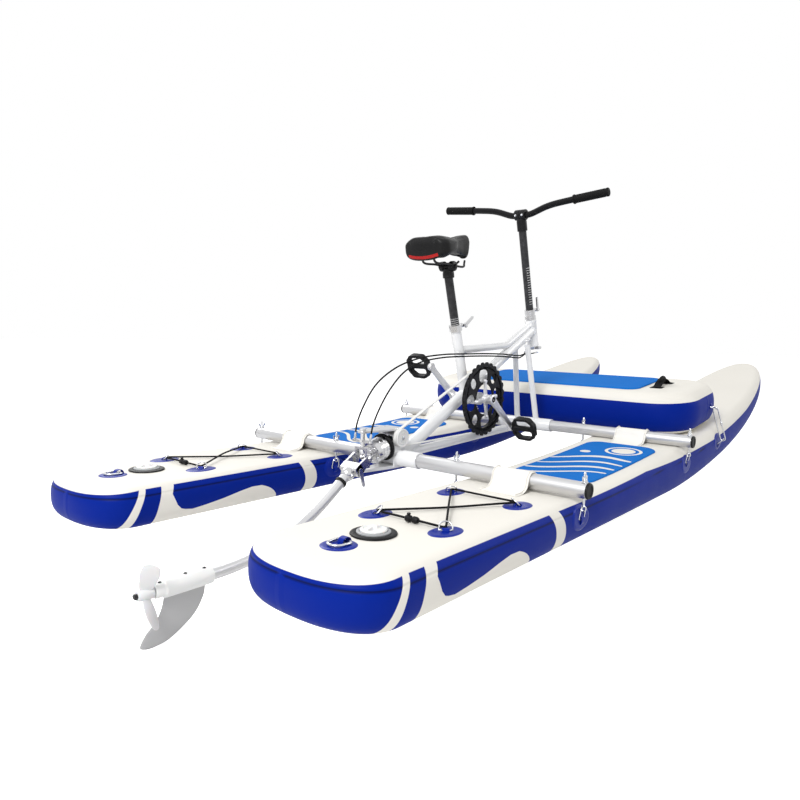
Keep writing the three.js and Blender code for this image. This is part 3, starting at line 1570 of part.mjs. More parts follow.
// Leg tube: straight from its fork, then one long bend that brings it level
function legSolid() {
  const points = [onLeg(leg.blockStart + overrun), onLeg(leg.straight * half)];
  for (let i = 0; i <= leg.bendSteps; i += 1) {
    points.push(legCentre(leg.pitch * (1 - i / leg.bendSteps)));
  }
  points.push(point(leg.tailX, 0, tailZ));
  const pipe = tube(new THREE.CatmullRomCurve3(points), leg.diameter, leg.steps, tubeSides);
  const bandEnd = onLeg(leg.collarAt + leg.collarWidth);
  const band = rod(onLeg(leg.collarAt), bandEnd, leg.diameter + leg.collarProud * 2, tubeSides);
  const place = new THREE.Matrix4().makeRotationY(-leg.pitch).setPosition(swivel);
  const earInner = yoke.halfWidth + gap;
  const ears = [port, starboard].map((side) => {
    const low = side === port ? earInner : -earInner - leg.ear;
    const shape = linkShape(leg.earEye, leg.blockHalf * 2, leg.blockEnd - leg.blockHalf);
    const ear = sidePlate(shape, low, low + leg.ear).rotate([0, 0, leg.halfTurn]);
    return ear.transform(place.elements);
  });
  const width = earInner + leg.ear;
  const crownLow = point(-leg.blockEnd, -width, -leg.blockHalf);
  const crown = block(crownLow, point(-leg.blockStart, width, leg.blockHalf));
  const holes = crossRod(swivelX, swivelZ, width * 2, running(yoke.sidePin));
  const fork = union([...ears, crown.transform(place.elements)]).subtract(holes);
  return union([pipe, band, fork]);
}

function latchPivot() {
  return onLeg(latch.at).setY(-(yoke.halfWidth + leg.ear + gap * 2 + latch.thick / 2));
}

function latchSolid() {
  const shape = linkShape(latch.width, latch.tip, latch.length);
  const plate = sidePlate(shape, -latch.thick / 2, latch.thick / 2);
  const hang = new THREE.Matrix4().makeRotationY(Math.PI / 2 - leg.pitch * half).setPosition(latchPivot());
  return plate.transform(hang.elements);
}

function finSleeveSolid() {
  const { frontX, stepX, rearX, diameter, stepDiameter, screw } = finSleeve;
  const run = frontX - rearX;
  const step = frontX - stepX;
  const profile = [
    [0, 0],
    [diameter / 2 - overrun, 0],
    [diameter / 2, overrun],
    [diameter / 2, step],
    [stepDiameter / 2, step + overrun],
    [stepDiameter / 2, run - overrun],
    [stepDiameter / 2 - overrun, run],
    [0, run],
  ];
  const body = turned(point(frontX, 0, tailZ), point(rearX, 0, tailZ), profile);
  const boreFront = point(frontX + overrun, 0, tailZ);
  const bore = rod(boreFront, point(leg.tailX - gap, 0, tailZ), leg.diameter + gap * 2);
  const shaftEnd = propeller.frontX + propeller.shaftInsert + gap;
  const shaftStart = point(shaftEnd, 0, tailZ);
  const shaftBore = rod(shaftStart, point(rearX - overrun, 0, tailZ), running(propeller.shaft), pinSides);
  const screws = finSleeve.screwShares.map((share) => {
    const x = frontX - run * share;
    const side = share * run > step ? stepDiameter / 2 : diameter / 2;
    return rod(point(x, overrun - side, tailZ), point(x, -side - overrun * half, tailZ), screw, pinSides);
  });
  return union([body, ...screws]).subtract(bore.add(shaftBore));
}

function finSolid() {
  const spot = ([along, down]) => new THREE.Vector2(fin.rootX - fin.chord * along, tailZ - fin.depth * down);
  const lead = new THREE.SplineCurve(fin.leadShares.map(spot)).getPoints(fin.steps * half);
  const tail = new THREE.SplineCurve(fin.tailShares.map(spot)).getPoints(fin.steps * half);
  return sidePlate(new THREE.Shape([...lead, ...tail]), -fin.thick / 2, fin.thick / 2);
}

// Three twisted blades on a hub, with the shaft that runs into the sleeve and the end nut
function propellerSolid() {
  const { frontX, hubLength, hub, radius, shaft, shaftInsert, nut, nutLength } = propeller;
  const rearX = frontX - hubLength;
  const body = turned(point(frontX, 0, tailZ), point(rearX, 0, tailZ), [
    [0, 0],
    [hub / 2, 0],
    [hub / 2, hubLength * propeller.hubShare],
    [hub / 2 - overrun, hubLength],
    [0, hubLength],
  ]);
  const bodies = [
    body,
    rod(point(frontX + shaftInsert, 0, tailZ), point(frontX - overrun, 0, tailZ), shaft, pinSides),
    rod(point(rearX + overrun, 0, tailZ), point(rearX - nutLength, 0, tailZ), nut, wireSides),
  ];
  for (let i = 0; i < propeller.blades; i += 1) {
    const spin = propeller.firstBlade + (i / propeller.blades) * 2 * Math.PI;
    const rings = propeller.radiusShares.map((share, k) => {
      const twist = THREE.MathUtils.lerp(propeller.rootTwist, propeller.tipTwist, share);
      return propeller.sectionShares.map(([across, thick]) => {
        const chord = across * propeller.chord * propeller.chordShares[k];
        const deep = thick * propeller.thick;
        const x = chord * Math.sin(twist) + deep * Math.cos(twist);
        const y = chord * Math.cos(twist) - deep * Math.sin(twist);
        const z = share * radius;
        const lift = y * Math.cos(spin) + z * Math.sin(spin);
        const side = z * Math.cos(spin) - y * Math.sin(spin);
        return point(frontX - hubLength * half + x, side, tailZ + lift);
      });
    });
    bodies.push(loft(rings));
  }
  return union(bodies);
}

// Cable housings: from the column's arm they pass between the struts, run back along the starboard
// side of the frame and curve down to the two ends of the tiller
function cableSolid(route) {
  return tube(new THREE.CatmullRomCurve3(route.map((spot) => point(...spot))), cable.diameter, cable.steps);
}

const cableRoutes = {
  starboard: [
    [811, -29, 478],
    [780, -18, 472],
    [742, -11, 470],
    [700, -17, 466],
    [655, -27, 466],
    [560, -30, 472],
    [440, -31, 475],
    [320, -29, 475],
    [200, -28, 474],
    [85, -22, 463],
    [0, -6, 436],
    [-62, 12, 390],
    [-100, 24, 330],
    [-121, 29, 280],
    [-128, 29, 239.6],
  ],
  port: [
    [811, 29, 478],
    [782, 12, 468],
    [742, 0, 461],
    [700, -14, 457],
    [655, -27, 458],
    [560, -30, 464],
    [440, -30, 467],
    [320, -28, 467],
    [200, -24, 464],
    [85, -25, 450],
    [10, -28, 423],
    [-50, -30, 378],
    [-94, -30, 325],
    [-119, -29, 278],
    [-128, -29, 239.6],
  ],
};

// Elastic deck cord: one run through the four rings, crossed in the middle, and its cord lock
function bungeeSolid() {
  const z = deckAt(bungee.rearX) + patch.proud + bungee.lift;
  const [a, b, c, d] = bungeeCorners().map((corner) => corner.setZ(z));
  const over = a.clone().lerp(b, half).setZ(z + bungee.crossLift);
  const under = c.clone().lerp(d, half).setZ(z - bungee.crossLift * half);
  const turns = [a, over, b, c, under, d];
  const points = turns.flatMap((spot, i) => {
    if (spot === over || spot === under) {
      return [spot];
    }
    const before = turns[(i + turns.length - 1) % turns.length].clone().sub(spot).setLength(bungee.turn);
    const after = turns[(i + 1) % turns.length].clone().sub(spot).setLength(bungee.turn);
    const inner = before.clone().add(after).multiplyScalar(bungee.turnShare);
    return [before, inner, after].map((step) => step.add(spot));
  });
  const lockStart = c.clone().lerp(b, bungee.lockShare);
  const lockEnd = c.clone().lerp(b, bungee.lockShare + bungee.lockLength / bungee.spread);
  const lock = rod(lockStart, lockEnd, bungee.lockDiameter, pinSides);
  return hoop(points, bungee.diameter, ringSides, zAxis).add(lock);
}

const bike = new THREE.Group();

function add(name, body, color, roughness, metalness = 0) {
  const material = new THREE.MeshStandardMaterial({ color, roughness, metalness });
  const mesh = new THREE.Mesh(geometryOf(body), material);
  mesh.name = name;
  bike.add(mesh);
}

const sideNames = new Map([[port, 'port'], [starboard, 'starboard']]);
const silver = 0xc9ccd0;
const black = 0x17181a;
const hullCream = 0xece6d6;
const padBlue = 0x1b6fc4;
const railBlue = 0x10288c;
const smoke = 0xd9dcdc;

function addPontoons() {
  for (const [side, name] of sideNames) {
    add(`hull_${name}`, hullSolid(side).translate(0, side * hullY, 0), hullCream, 0.5);
    add(`deck_pad_${name}`, deckPadSolid().translate(0, side * hullY, 0), padBlue, 0.8);
    add(`valve_${name}`, valveSolid().translate(0, side * hullY, 0), black, 0.5);
    add(`stern_ring_${name}`, sternRingSolid().translate(0, side * hullY, 0), silver, 0.3, 1);
    add(`bungee_${name}`, bungeeSolid().translate(0, side * hullY, 0), black, 0.8);
  }
}

function addBars() {
  const places = [['rear', 0, rearBarZ], ['front', bar.frontX, frontBarZ]];
  for (const [end, x, z] of places) {
    for (const [side, name] of sideNames) {
      add(`${end}_bar_${name}`, barSolid(x, z, side), silver, 0.35, 1);
      add(`${end}_plug_${name}`, plugSolid(x, z, side), black, 0.6);
      add(`${end}_sleeve_${name}`, sleeveSolid(x, z, side), hullCream, 0.5);
    }
  }
}

function addPlatform() {
  add('platform', platformSolid(), railBlue, 0.45);
  add('platform_pad', platformPadSolid(), padBlue, 0.8);
  add('platform_handle', platformHandleSolid(), black, 0.8);
  for (const [side, name] of sideNames) {
    add(`platform_clip_${name}`, clipSolid(side), silver, 0.3, 1);
  }
}

function addSeat() {
  add('seat_collar', seatCollarSolid(), silver, 0.3, 1);
  add('seat_lever', leverSolid(seatLeverPivot(), lever.seatPitch), silver, 0.3, 1);
  add('seat_post', seatPostSolid(), black, 0.35, 0.6);
  add('saddle_mount', saddleMountSolid(), black, 0.4, 0.6);
  add('saddle', saddleSolid(), black, 0.5);
}

function addSteering() {
  add('steerer', steererSolid(), silver, 0.3, 1);
  add('height_collar', heightCollarSolid(), silver, 0.3, 1);
  add('height_lever', leverSolid(heightLeverPivot(), lever.headPitch), silver, 0.3, 1);
  add('stem_tube', stemSolid(), black, 0.35, 0.6);
  add('bar_clamp', barClampSolid(), black, 0.35, 0.6);
  add('handlebar', handlebarSolid(), black, 0.35, 0.6);
  for (const [side, name] of sideNames) {
    add(`grip_${name}`, gripSolid(side), black, 0.9);
    add(`cable_${name}`, cableSolid(cableRoutes[name]), black, 0.5);
  }
}

function addDrive() {
  add('crank_right', crankRightSolid(), silver, 0.25, 1);
  add('chainring', chainringSolid(), black, 0.5);
  add('crank_left', crankLeftSolid(), silver, 0.25, 1);
  add('pedal_right', pedalSolid(starboard), black, 0.6);
  add('pedal_left', pedalSolid(port), black, 0.6);
  add('belt', beltSolid(), pureWhite, 0.6);
  add('drive_pulley', pulleySolid(), pureWhite, 0.5);
  add('gearbox_housing', gearboxSolid(), silver, 0.2, 1);
  add('gearbox_flange', gearboxFlangeSolid(), black, 0.4);
  add('output_shaft', outputShaftSolid(), silver, 0.2, 1);
}

function addLeg() {
  add('swivel_plate', swivelPlateSolid(), silver, 0.4, 1);
  add('steer_yoke', yokeSolid(), silver, 0.3, 1);
  add('leg_tube', legSolid(), silver, 0.2, 1);
  add('leg_latch', latchSolid(), silver, 0.3, 1);
  add('fin_sleeve', finSleeveSolid(), pureWhite, 0.5);
  add('fin', finSolid(), smoke, 0.4);
  add('propeller', propellerSolid(), smoke, 0.35);
}

addPontoons();
addBars();
addPlatform();
add('main_frame', mainFrameSolid(), pureWhite, 0.3);
addSeat();
addSteering();
addDrive();
addLeg();

// Stand the bike on the tip of its fin, with the origin under the middle of its box
const box = new THREE.Box3().setFromObject(bike);
bike.position.set(-(box.min.x + box.max.x) / 2, 0, -box.min.z);
bike.updateMatrixWorld(true);

export default bike;
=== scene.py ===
"""Looks of the pontoon water bike. Shapes are worked out in millimetres from the axis of the rear
cross bar (X to the bows, Y to port, Z up, the pontoons' flat bottom at HULL["floor"]) and placed in the
row frame."""

import math

import bmesh
import bpy
import numpy as np
from mathutils import Matrix, Vector


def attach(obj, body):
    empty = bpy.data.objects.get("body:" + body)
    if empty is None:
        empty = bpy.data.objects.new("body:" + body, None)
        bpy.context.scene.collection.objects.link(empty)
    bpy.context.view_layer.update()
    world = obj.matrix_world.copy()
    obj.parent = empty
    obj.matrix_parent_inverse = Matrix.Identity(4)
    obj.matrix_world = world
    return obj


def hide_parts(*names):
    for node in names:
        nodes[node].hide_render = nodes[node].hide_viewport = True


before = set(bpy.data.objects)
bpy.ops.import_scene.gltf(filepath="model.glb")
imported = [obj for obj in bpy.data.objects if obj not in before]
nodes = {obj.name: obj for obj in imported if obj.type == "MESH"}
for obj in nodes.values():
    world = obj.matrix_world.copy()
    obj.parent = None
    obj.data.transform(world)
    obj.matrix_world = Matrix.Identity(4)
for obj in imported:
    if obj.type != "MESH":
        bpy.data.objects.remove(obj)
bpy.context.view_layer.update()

PLACE = np.array([-758.5, 0.0, 136.8696])
MM = 0.001
PORT, STARBOARD = 1, -1
SIDES = {"port": PORT, "starboard": STARBOARD}
X, Y, Z = np.eye(3)
DEG = math.pi / 180


def at(*spot):
    """A point of the layout, in millimetres."""
    return np.array(spot, float)


def metres(points):
    """Layout millimetres to the row frame's metres."""
    return (np.asarray(points, float) + PLACE) * MM


def unit(v):
    """Rows of v at length one."""
    v = np.asarray(v, float)
    return v / np.maximum(np.linalg.norm(v, axis=-1, keepdims=True), 1e-12)


# ---------------------------------------------------------------- camera, lights and floor

CAMERA = (-2.2394, -1.2560, 0.6754)
YAW, PITCH, ROLL = 39.706 * DEG, -5.754 * DEG, 1.355 * DEG
FOCAL_SHARE = 667.45 / 800
SENSOR = 36
FAR = 60


def set_camera():
    """The camera of the photograph's view, with its turn and its lens."""
    forward = Vector((math.cos(PITCH) * math.cos(YAW), math.cos(PITCH) * math.sin(YAW), math.sin(PITCH)))
    level = Vector((math.sin(YAW), -math.cos(YAW), 0))
    upright = level.cross(forward)
    right = level * math.cos(ROLL) + upright * math.sin(ROLL)
    up = upright * math.cos(ROLL) - level * math.sin(ROLL)
    data = bpy.data.cameras.new("camera")
    data.sensor_width = SENSOR
    data.lens = FOCAL_SHARE * data.sensor_width
    data.clip_end = FAR
    camera = bpy.data.objects.new("camera", data)
    turn = Matrix((right, up, -forward)).transposed()
    camera.matrix_world = Matrix.Translation(CAMERA) @ turn.to_4x4()
    bpy.context.scene.collection.objects.link(camera)
    bpy.context.scene.camera = camera


WORLD_LIGHT = 0.5
FLOOR_GLOW = 0.66
FLOOR_REACH = 30
LAMPS = {
    "key": ((-4.6, -0.8, 3.8), (0, 0, 0.3), 2.2, 225),
    "fill": ((3.0, -3.4, 3.0), (0, 0, 0.3), 2.0, 40),
    "rim": ((0.5, 4.2, 3.4), (0, 0, 0.4), 2.6, 90),
}


def lamp(name, place, target, size, power):
    """A round area lamp at place, turned towards target."""
    data = bpy.data.lights.new(name, "AREA")
    data.shape = "DISK"
    data.size = size
    data.energy = power
    obj = bpy.data.objects.new(name, data)
    obj.location = place
    obj.rotation_euler = (Vector(target) - Vector(place)).to_track_quat("-Z", "Y").to_euler()
    bpy.context.scene.collection.objects.link(obj)


def set_stage():
    """White for what the camera sees of the world, a softer white for what lights the bike."""
    scene = bpy.context.scene
    scene.view_settings.view_transform = "Standard"
    world = bpy.data.worlds.new("studio")
    world.use_nodes = True
    scene.world = world
    tree = world.node_tree
    background = tree.nodes["Background"]
    rays = tree.nodes.new("ShaderNodeLightPath")
    most = tree.nodes.new("ShaderNodeMath")
    most.operation = "MAXIMUM"
    also = tree.nodes.new("ShaderNodeMath")
    also.operation = "MAXIMUM"
    level = tree.nodes.new("ShaderNodeMapRange")
    level.inputs["To Min"].default_value = WORLD_LIGHT
    level.inputs["To Max"].default_value = 1.0
    tree.links.new(rays.outputs["Is Camera Ray"], most.inputs[0])
    tree.links.new(rays.outputs["Is Transmission Ray"], most.inputs[1])
    tree.links.new(most.outputs[0], also.inputs[0])
    tree.links.new(rays.outputs["Is Glossy Ray"], also.inputs[1])
    tree.links.new(also.outputs[0], level.inputs["Value"])
    tree.links.new(level.outputs[0], background.inputs["Strength"])
    background.inputs["Color"].default_value = (1, 1, 1, 1)

    for name, setting in LAMPS.items():
        lamp(name, *setting)

    floor_mesh = bpy.data.meshes.new("floor")
    corners = [(FLOOR_REACH * x, FLOOR_REACH * y, 0) for x, y in ((-1, -1), (1, -1), (1, 1), (-1, 1))]
    floor_mesh.from_pydata(corners, [], [(0, 1, 2, 3)])
    floor = bpy.data.objects.new("floor", floor_mesh)
    scene.collection.objects.link(floor)
    finish = bpy.data.materials.new("floor_paper")
    finish.use_nodes = True
    floor_nodes = finish.node_tree.nodes
    shader = floor_nodes["Principled BSDF"]
    shader.inputs["Base Color"].default_value = (0.9, 0.9, 0.9, 1)
    shader.inputs["Roughness"].default_value = 0.9
    shader.inputs["Specular IOR Level"].default_value = 0.1
    shader.inputs["Emission Color"].default_value = (1, 1, 1, 1)
    ray = floor_nodes.new("ShaderNodeLightPath")
    glow = floor_nodes.new("ShaderNodeMath")
    glow.operation = "MULTIPLY"
    glow.inputs[1].default_value = FLOOR_GLOW
    finish.node_tree.links.new(ray.outputs["Is Camera Ray"], glow.inputs[0])
    finish.node_tree.links.new(glow.outputs[0], shader.inputs["Emission Strength"])
    floor_mesh.materials.append(finish)


set_camera()
set_stage()

# ---------------------------------------------------------------- finishes


class Finish:
    """A procedural material on Object coordinates, built one layer at a time."""

    def __init__(self, name, colour, rough, metal=0.0):
        self.material = bpy.data.materials.new(name)
        self.material.use_nodes = True
        self.tree = self.material.node_tree
        self.shader = self.tree.nodes["Principled BSDF"]
        self.shader.inputs["Metallic"].default_value = metal
        self.shader.inputs["Roughness"].default_value = rough
        self.shader.inputs["Base Color"].default_value = (*colour, 1)
        self.place = self.tree.nodes.new("ShaderNodeTexCoord").outputs["Object"]
        self.colour = None
        self.flat = (*colour, 1)
        self.rough = rough
        self.height = None

    def node(self, kind, **inputs):
        made = self.tree.nodes.new(kind)
        for name, value in inputs.items():
            made.inputs[name.replace("_", " ")].default_value = value
        return made

    def link(self, a, b):
        self.tree.links.new(a, b)

    def math(self, how, a, b=0.0, clamp=False):
        made = self.tree.nodes.new("ShaderNodeMath")
        made.operation = how
        made.use_clamp = clamp
        for socket, value in zip(made.inputs, (a, b)):
            if isinstance(value, (int, float)):
                socket.default_value = value
            else:
                self.link(value, socket)
        return made.outputs[0]

    def noise(self, scale, detail=3.0, stretch=(1, 1, 1)):
        mapping = self.tree.nodes.new("ShaderNodeMapping")
        mapping.inputs["Scale"].default_value = stretch
        self.link(self.place, mapping.inputs["Vector"])
        made = self.node("ShaderNodeTexNoise", Scale=scale, Detail=detail)
        self.link(mapping.outputs[0], made.inputs["Vector"])
        return made.outputs["Fac"]

    def wave(self, scale, axis="X", distortion=0.0):
        made = self.node("ShaderNodeTexWave", Scale=scale, Distortion=distortion)
        made.bands_direction = axis
        self.link(self.place, made.inputs["Vector"])
        return made.outputs["Fac"]

    def attribute(self, name):
        made = self.tree.nodes.new("ShaderNodeAttribute")
        made.attribute_name = name
        return made.outputs["Fac"]

    def mix(self, share, a, b, blend="MIX"):
        made = self.tree.nodes.new("ShaderNodeMix")
        made.data_type = "RGBA"
        made.blend_type = blend
        for socket, value in ((made.inputs[0], share), (made.inputs[6], a), (made.inputs[7], b)):
            if isinstance(value, (int, float, tuple)):
                socket.default_value = value
            else:
                self.link(value, socket)
        return made.outputs[2]

    def paint(self, share, colour):
        """Puts a second colour over the first wherever share is 1."""
        self.colour = self.mix(share, self.colour or self.flat, (*colour, 1))
        return self

    def vary(self, amount, scale=6.0, stretch=(1, 1, 1)):
        """Slow lighter and darker areas."""
        made = self.node("ShaderNodeMapRange")
        made.inputs["To Min"].default_value = 1 - amount
        made.inputs["To Max"].default_value = 1 + amount * 0.4
        self.link(self.noise(scale, 4.0, stretch), made.inputs["Value"])
        tint = self.node("ShaderNodeCombineColor")
        for socket in tint.inputs[:3]:
            self.link(made.outputs[0], socket)
        self.colour = self.mix(1.0, self.colour or self.flat, tint.outputs[0], "MULTIPLY")
        return self

    def wear(self, amount, colour):
        """Rubbed convex edges."""
        edge = self.tree.nodes.new("ShaderNodeNewGeometry").outputs["Pointiness"]
        share = self.math("MULTIPLY", self.math("SUBTRACT", edge, 0.52), 12.0 * amount, clamp=True)
        speck = self.math("MULTIPLY", share, self.noise(60, 4.0))
        return self.paint(speck, colour)

    def smudge(self, amount, scale=9.0, stretch=(1, 1, 1)):
        """Roughness that changes slowly over the surface."""
        made = self.node("ShaderNodeMapRange")
        made.inputs["To Min"].default_value = max(self.rough - amount, 0.02)
        made.inputs["To Max"].default_value = min(self.rough + amount, 1.0)
        self.link(self.noise(scale, 5.0, stretch), made.inputs["Value"])
        self.link(made.outputs[0], self.shader.inputs["Roughness"])
        return self

    def raise_by(self, height, amount):
        """Adds a height, in millimetres, to the bump."""
        height = self.math("MULTIPLY", height, amount)
        self.height = height if self.height is None else self.math("ADD", self.height, height)
        return self

    def grain(self, scale, amount, detail=2.0, stretch=(1, 1, 1)):
        return self.raise_by(self.noise(scale, detail, stretch), amount)

    def weave(self, pitch, amount, axes=("X", "Y")):
        """Crossed threads, pitch in millimetres."""
        scale = math.pi / (100 * pitch * MM)
        cloth = self.math("MULTIPLY", self.wave(scale, axes[0]), self.wave(scale, axes[1]))
        return self.raise_by(cloth, amount)

    def done(self):
        if self.colour is not None:
            self.link(self.colour, self.shader.inputs["Base Color"])
        if self.height is not None:
            bump = self.node("ShaderNodeBump", Distance=MM, Strength=1.0)
            self.link(self.height, bump.inputs["Height"])
            self.link(bump.outputs[0], self.shader.inputs["Normal"])
        return self.material

    def set(self, **sockets):
        for name, value in sockets.items():
            self.shader.inputs[name.replace("_", " ")].default_value = value
        return self


CREAM = (0.80, 0.775, 0.715)
ROYAL = (0.0, 0.015, 0.24)
BRIGHT = (0.003, 0.15, 0.54)
INK = (0.005, 0.005, 0.006)
ALLOY = (0.66, 0.66, 0.67)


def inflated_cloth(name):
    """Coated drop-stitch fabric: cream, with the rail colour wherever all three marks are above zero, and
    painted shade (a near-black navy) along the seam's groove on the blue.
    """
    f = Finish(name, CREAM, 0.46)
    shapes = f.math("MINIMUM", f.attribute("stripes"), f.attribute("swell"))
    marks = f.math("MINIMUM", f.attribute("edge"), shapes)
    share = f.math("ADD", f.math("MULTIPLY", marks, 1.2), 0.5, clamp=True)
    f.paint(share, ROYAL)
    # Painted shade: the blue is darkened to near-black navy in the seam's groove, where shadow would fall;
    # 'groove' here carries that painted shade.
    groove = f.math("MULTIPLY", f.attribute("seam"), -1.1, clamp=True)
    f.paint(f.math("MULTIPLY", share, groove), (0.001, 0.003, 0.03))
    f.vary(0.05, 3.0).smudge(0.07, 7.0)
    f.grain(900, 0.05).weave(1.3, 0.035)
    f.grain(14, 0.5, 1.0)
    f.raise_by(f.attribute("seam"), 0.9)
    return f.set(Specular_IOR_Level=0.07).done()


def foam(name):
    """Closed-cell foam: blue, cream wherever the motif is above zero, pressed in along the groove."""
    f = Finish(name, BRIGHT, 0.82)
    share = f.math("ADD", f.math("MULTIPLY", f.attribute("motif"), 1.5), 0.5, clamp=True)
    f.paint(share, CREAM)
    f.vary(0.06, 9.0).grain(1400, 0.10, 4.0).weave(4.0, 0.20)
    f.raise_by(f.attribute("groove"), -0.7)
    return f.set(Specular_IOR_Level=0.15).done()


def make_finishes():
    """Every material that the part wears, by slot name."""
    made = {}
    made["hull"] = inflated_cloth("inflated_cloth")
    made["foam"] = foam("deck_foam")
    made["patch"] = (
        Finish("patch_blue", (0.0, 0.016, 0.26), 0.3).vary(0.08, 20).grain(600, 0.06).weave(1.3, 0.03)
        .smudge(0.08, 30).set(Specular_IOR_Level=0.16).done()
    )
    made["sleeve"] = (
        Finish("sleeve_cloth", (0.86, 0.84, 0.79), 0.55).vary(0.06, 14).smudge(0.08, 16).grain(35, 0.35, 2)
        .weave(1.1, 0.10).set(Sheen_Weight=0.1).done()
    )
    made["tube"] = (
        Finish("anodised_tube", (0.66, 0.66, 0.67), 0.36, 1.0).vary(0.05, 5).smudge(0.08, 12, (1, 0.15, 1))
        .grain(500, 0.018, 2, (1, 0.04, 1)).done()
    )
    made["alloy"] = (
        Finish("polished_alloy", ALLOY, 0.2, 1.0).vary(0.06, 9).smudge(0.08, 26).grain(40, 0.05).done()
    )
    made["brushed"] = (
        Finish("brushed_alloy", (0.56, 0.56, 0.57), 0.3, 1.0).vary(0.08, 12).smudge(0.1, 40)
        .grain(420, 0.04, 2, (0.1, 1, 1)).wear(0.6, (0.85, 0.85, 0.86)).done()
    )
    made["satin"] = (
        Finish("satin_alloy", (0.80, 0.80, 0.81), 0.4, 1.0).vary(0.05, 12).smudge(0.08, 30)
        .grain(500, 0.03, 2, (1, 0.3, 1)).done()
    )
    made["steel"] = Finish("steel_wire", (0.66, 0.67, 0.69), 0.18, 1.0).vary(0.1, 60).smudge(0.07, 90).done()
    made["paint"] = (
        Finish("frame_paint", (0.84, 0.845, 0.85), 0.2).vary(0.025, 6).smudge(0.05, 14).grain(160, 0.03)
        .set(Coat_Weight=0.6, Coat_Roughness=0.08).done()
    )
    made["black_alloy"] = (
        Finish("black_alloy", INK, 0.3).vary(0.2, 25).smudge(0.06, 30).grain(700, 0.02)
        .wear(0.5, (0.16, 0.16, 0.17)).set(Specular_IOR_Level=0.18).done()
    )
    made["plastic"] = (
        Finish("black_plastic", (0.006, 0.006, 0.007), 0.44).vary(0.2, 30).smudge(0.08, 40).grain(1300, 0.07)
        .wear(0.4, (0.07, 0.07, 0.072)).set(Specular_IOR_Level=0.15).done()
    )
    made["rubber"] = (
        Finish("grip_rubber", (0.006, 0.006, 0.006), 0.66).vary(0.2, 40).grain(1500, 0.12)
        .set(Specular_IOR_Level=0.12).done()
    )
    made["webbing"] = (
        Finish("black_fabric", (0.007, 0.007, 0.008), 0.8).vary(0.25, 50).weave(1.2, 0.35).grain(900, 0.1)
        .set(Specular_IOR_Level=0.12).done()
    )
    made["cord"] = (
        Finish("elastic_cord", (0.008, 0.008, 0.009), 0.75).vary(0.3, 300).weave(1.0, 0.3, ("DIAGONAL", "Y"))
        .set(Specular_IOR_Level=0.12).done()
    )
    made["white"] = (
        Finish("white_plastic", (0.80, 0.80, 0.79), 0.36).vary(0.03, 12).smudge(0.06, 30).grain(900, 0.03)
        .set(Subsurface_Weight=0.05, Subsurface_Scale=0.004).done()
    )
    made["blade"] = (
        Finish("blade_plastic", (0.74, 0.745, 0.75), 0.3).vary(0.05, 14).smudge(0.06, 40).grain(240, 0.04)
        .set(Subsurface_Weight=0.15, Subsurface_Scale=0.005).done()
    )
    made["fin"] = (
        Finish("fin_plastic", (0.45, 0.45, 0.455), 0.42).vary(0.04, 14).smudge(0.06, 40).grain(240, 0.04)
        .set(Specular_IOR_Level=0.3).done()
    )
    made["belt"] = (
        Finish("belt_cord", (0.74, 0.74, 0.72), 0.6)
        .vary(0.08, 40).grain(1100, 0.08).weave(0.9, 0.05, ("X", "Z")).done()
    )
    leather = Finish("saddle_cover", (0.006, 0.006, 0.0065), 0.4)
    doubled = leather.math("MULTIPLY", leather.attribute("motif"), 2.0)
    leather.paint(leather.math("ADD", doubled, 0.5, clamp=True),
                  (0.42, 0.012, 0.012))
    cells = leather.node("ShaderNodeTexVoronoi", Scale=700.0)
    leather.link(leather.place, cells.inputs["Vector"])
    leather.raise_by(cells.outputs["Distance"], 0.16)
    leather.raise_by(leather.attribute("groove"), -1.0)
    made["saddle"] = leather.vary(0.2, 30).smudge(0.08, 25).set(Specular_IOR_Level=0.2).done()
    made["mark"] = Finish("pale_mark", (0.75, 0.75, 0.74), 0.5).vary(0.05, 50).grain(400, 0.02).done()
    seal = Finish("grey_plastic", (0.32, 0.33, 0.34), 0.45)
    made["rubber_seal"] = seal.vary(0.08, 40).grain(900, 0.05).done()
    return made


finishes = make_finishes()

# ---------------------------------------------------------------- mesh making


def grid(points, closed=False, **marks):
    """A skin over rows and columns of points. Closed joins the last column to the first. Marks are
    numbers kept with each point, for the finishes."""
    points = np.asarray(points, float)
    rows, columns = points.shape[:2]
    index = np.arange(rows * columns).reshape(rows, columns)
    if closed:
        index = np.concatenate([index, index[:, :1]], axis=1)
    quads = np.stack([index[:-1, :-1], index[:-1, 1:], index[1:, 1:], index[1:, :-1]], axis=-1)
    flat = {name: np.broadcast_to(value, (rows, columns)).ravel() for name, value in marks.items()}
    return points.reshape(-1, 3), quads.reshape(-1, 4).tolist(), flat


def capped(rows, ends=None):
    """Rows of a closed section, shut at both ends by a point: the one given, or the end row's middle."""
    first, last = (rows[0].mean(0), rows[-1].mean(0)) if ends is None else ends
    shape = rows[:1].shape
    rings = [np.broadcast_to(first, shape), rows, np.broadcast_to(last, shape)]
    return grid(np.concatenate(rings), closed=True)


def sweep(path, radius, sides=20, across=Y, closed=False):
    """A round section carried along a path: point = path + r (cos a side + sin a up). Radius is one
    number, one for each point, or a pair (side, up). Across is a direction the path never takes."""
    path = np.asarray(path, float)
    if closed:
        run = np.roll(path, -1, axis=0) - np.roll(path, 1, axis=0)
    else:
        run = np.gradient(path, axis=0)
    run = unit(run)
    side = unit(np.cross(run, across))
    up = np.cross(side, run)
    pair = radius if isinstance(radius, tuple) else (radius, radius)
    wide, tall = (np.broadcast_to(r, len(path))[:, None, None] for r in pair)
    a = np.linspace(0, 2 * math.pi, sides, endpoint=False)[None, :, None]
    rings = path[:, None] + side[:, None] * np.cos(a) * wide + up[:, None] * np.sin(a) * tall
    if closed:
        return grid(np.concatenate([rings, rings[:1]]), closed=True)
    return capped(rings, (path[0], path[-1]))


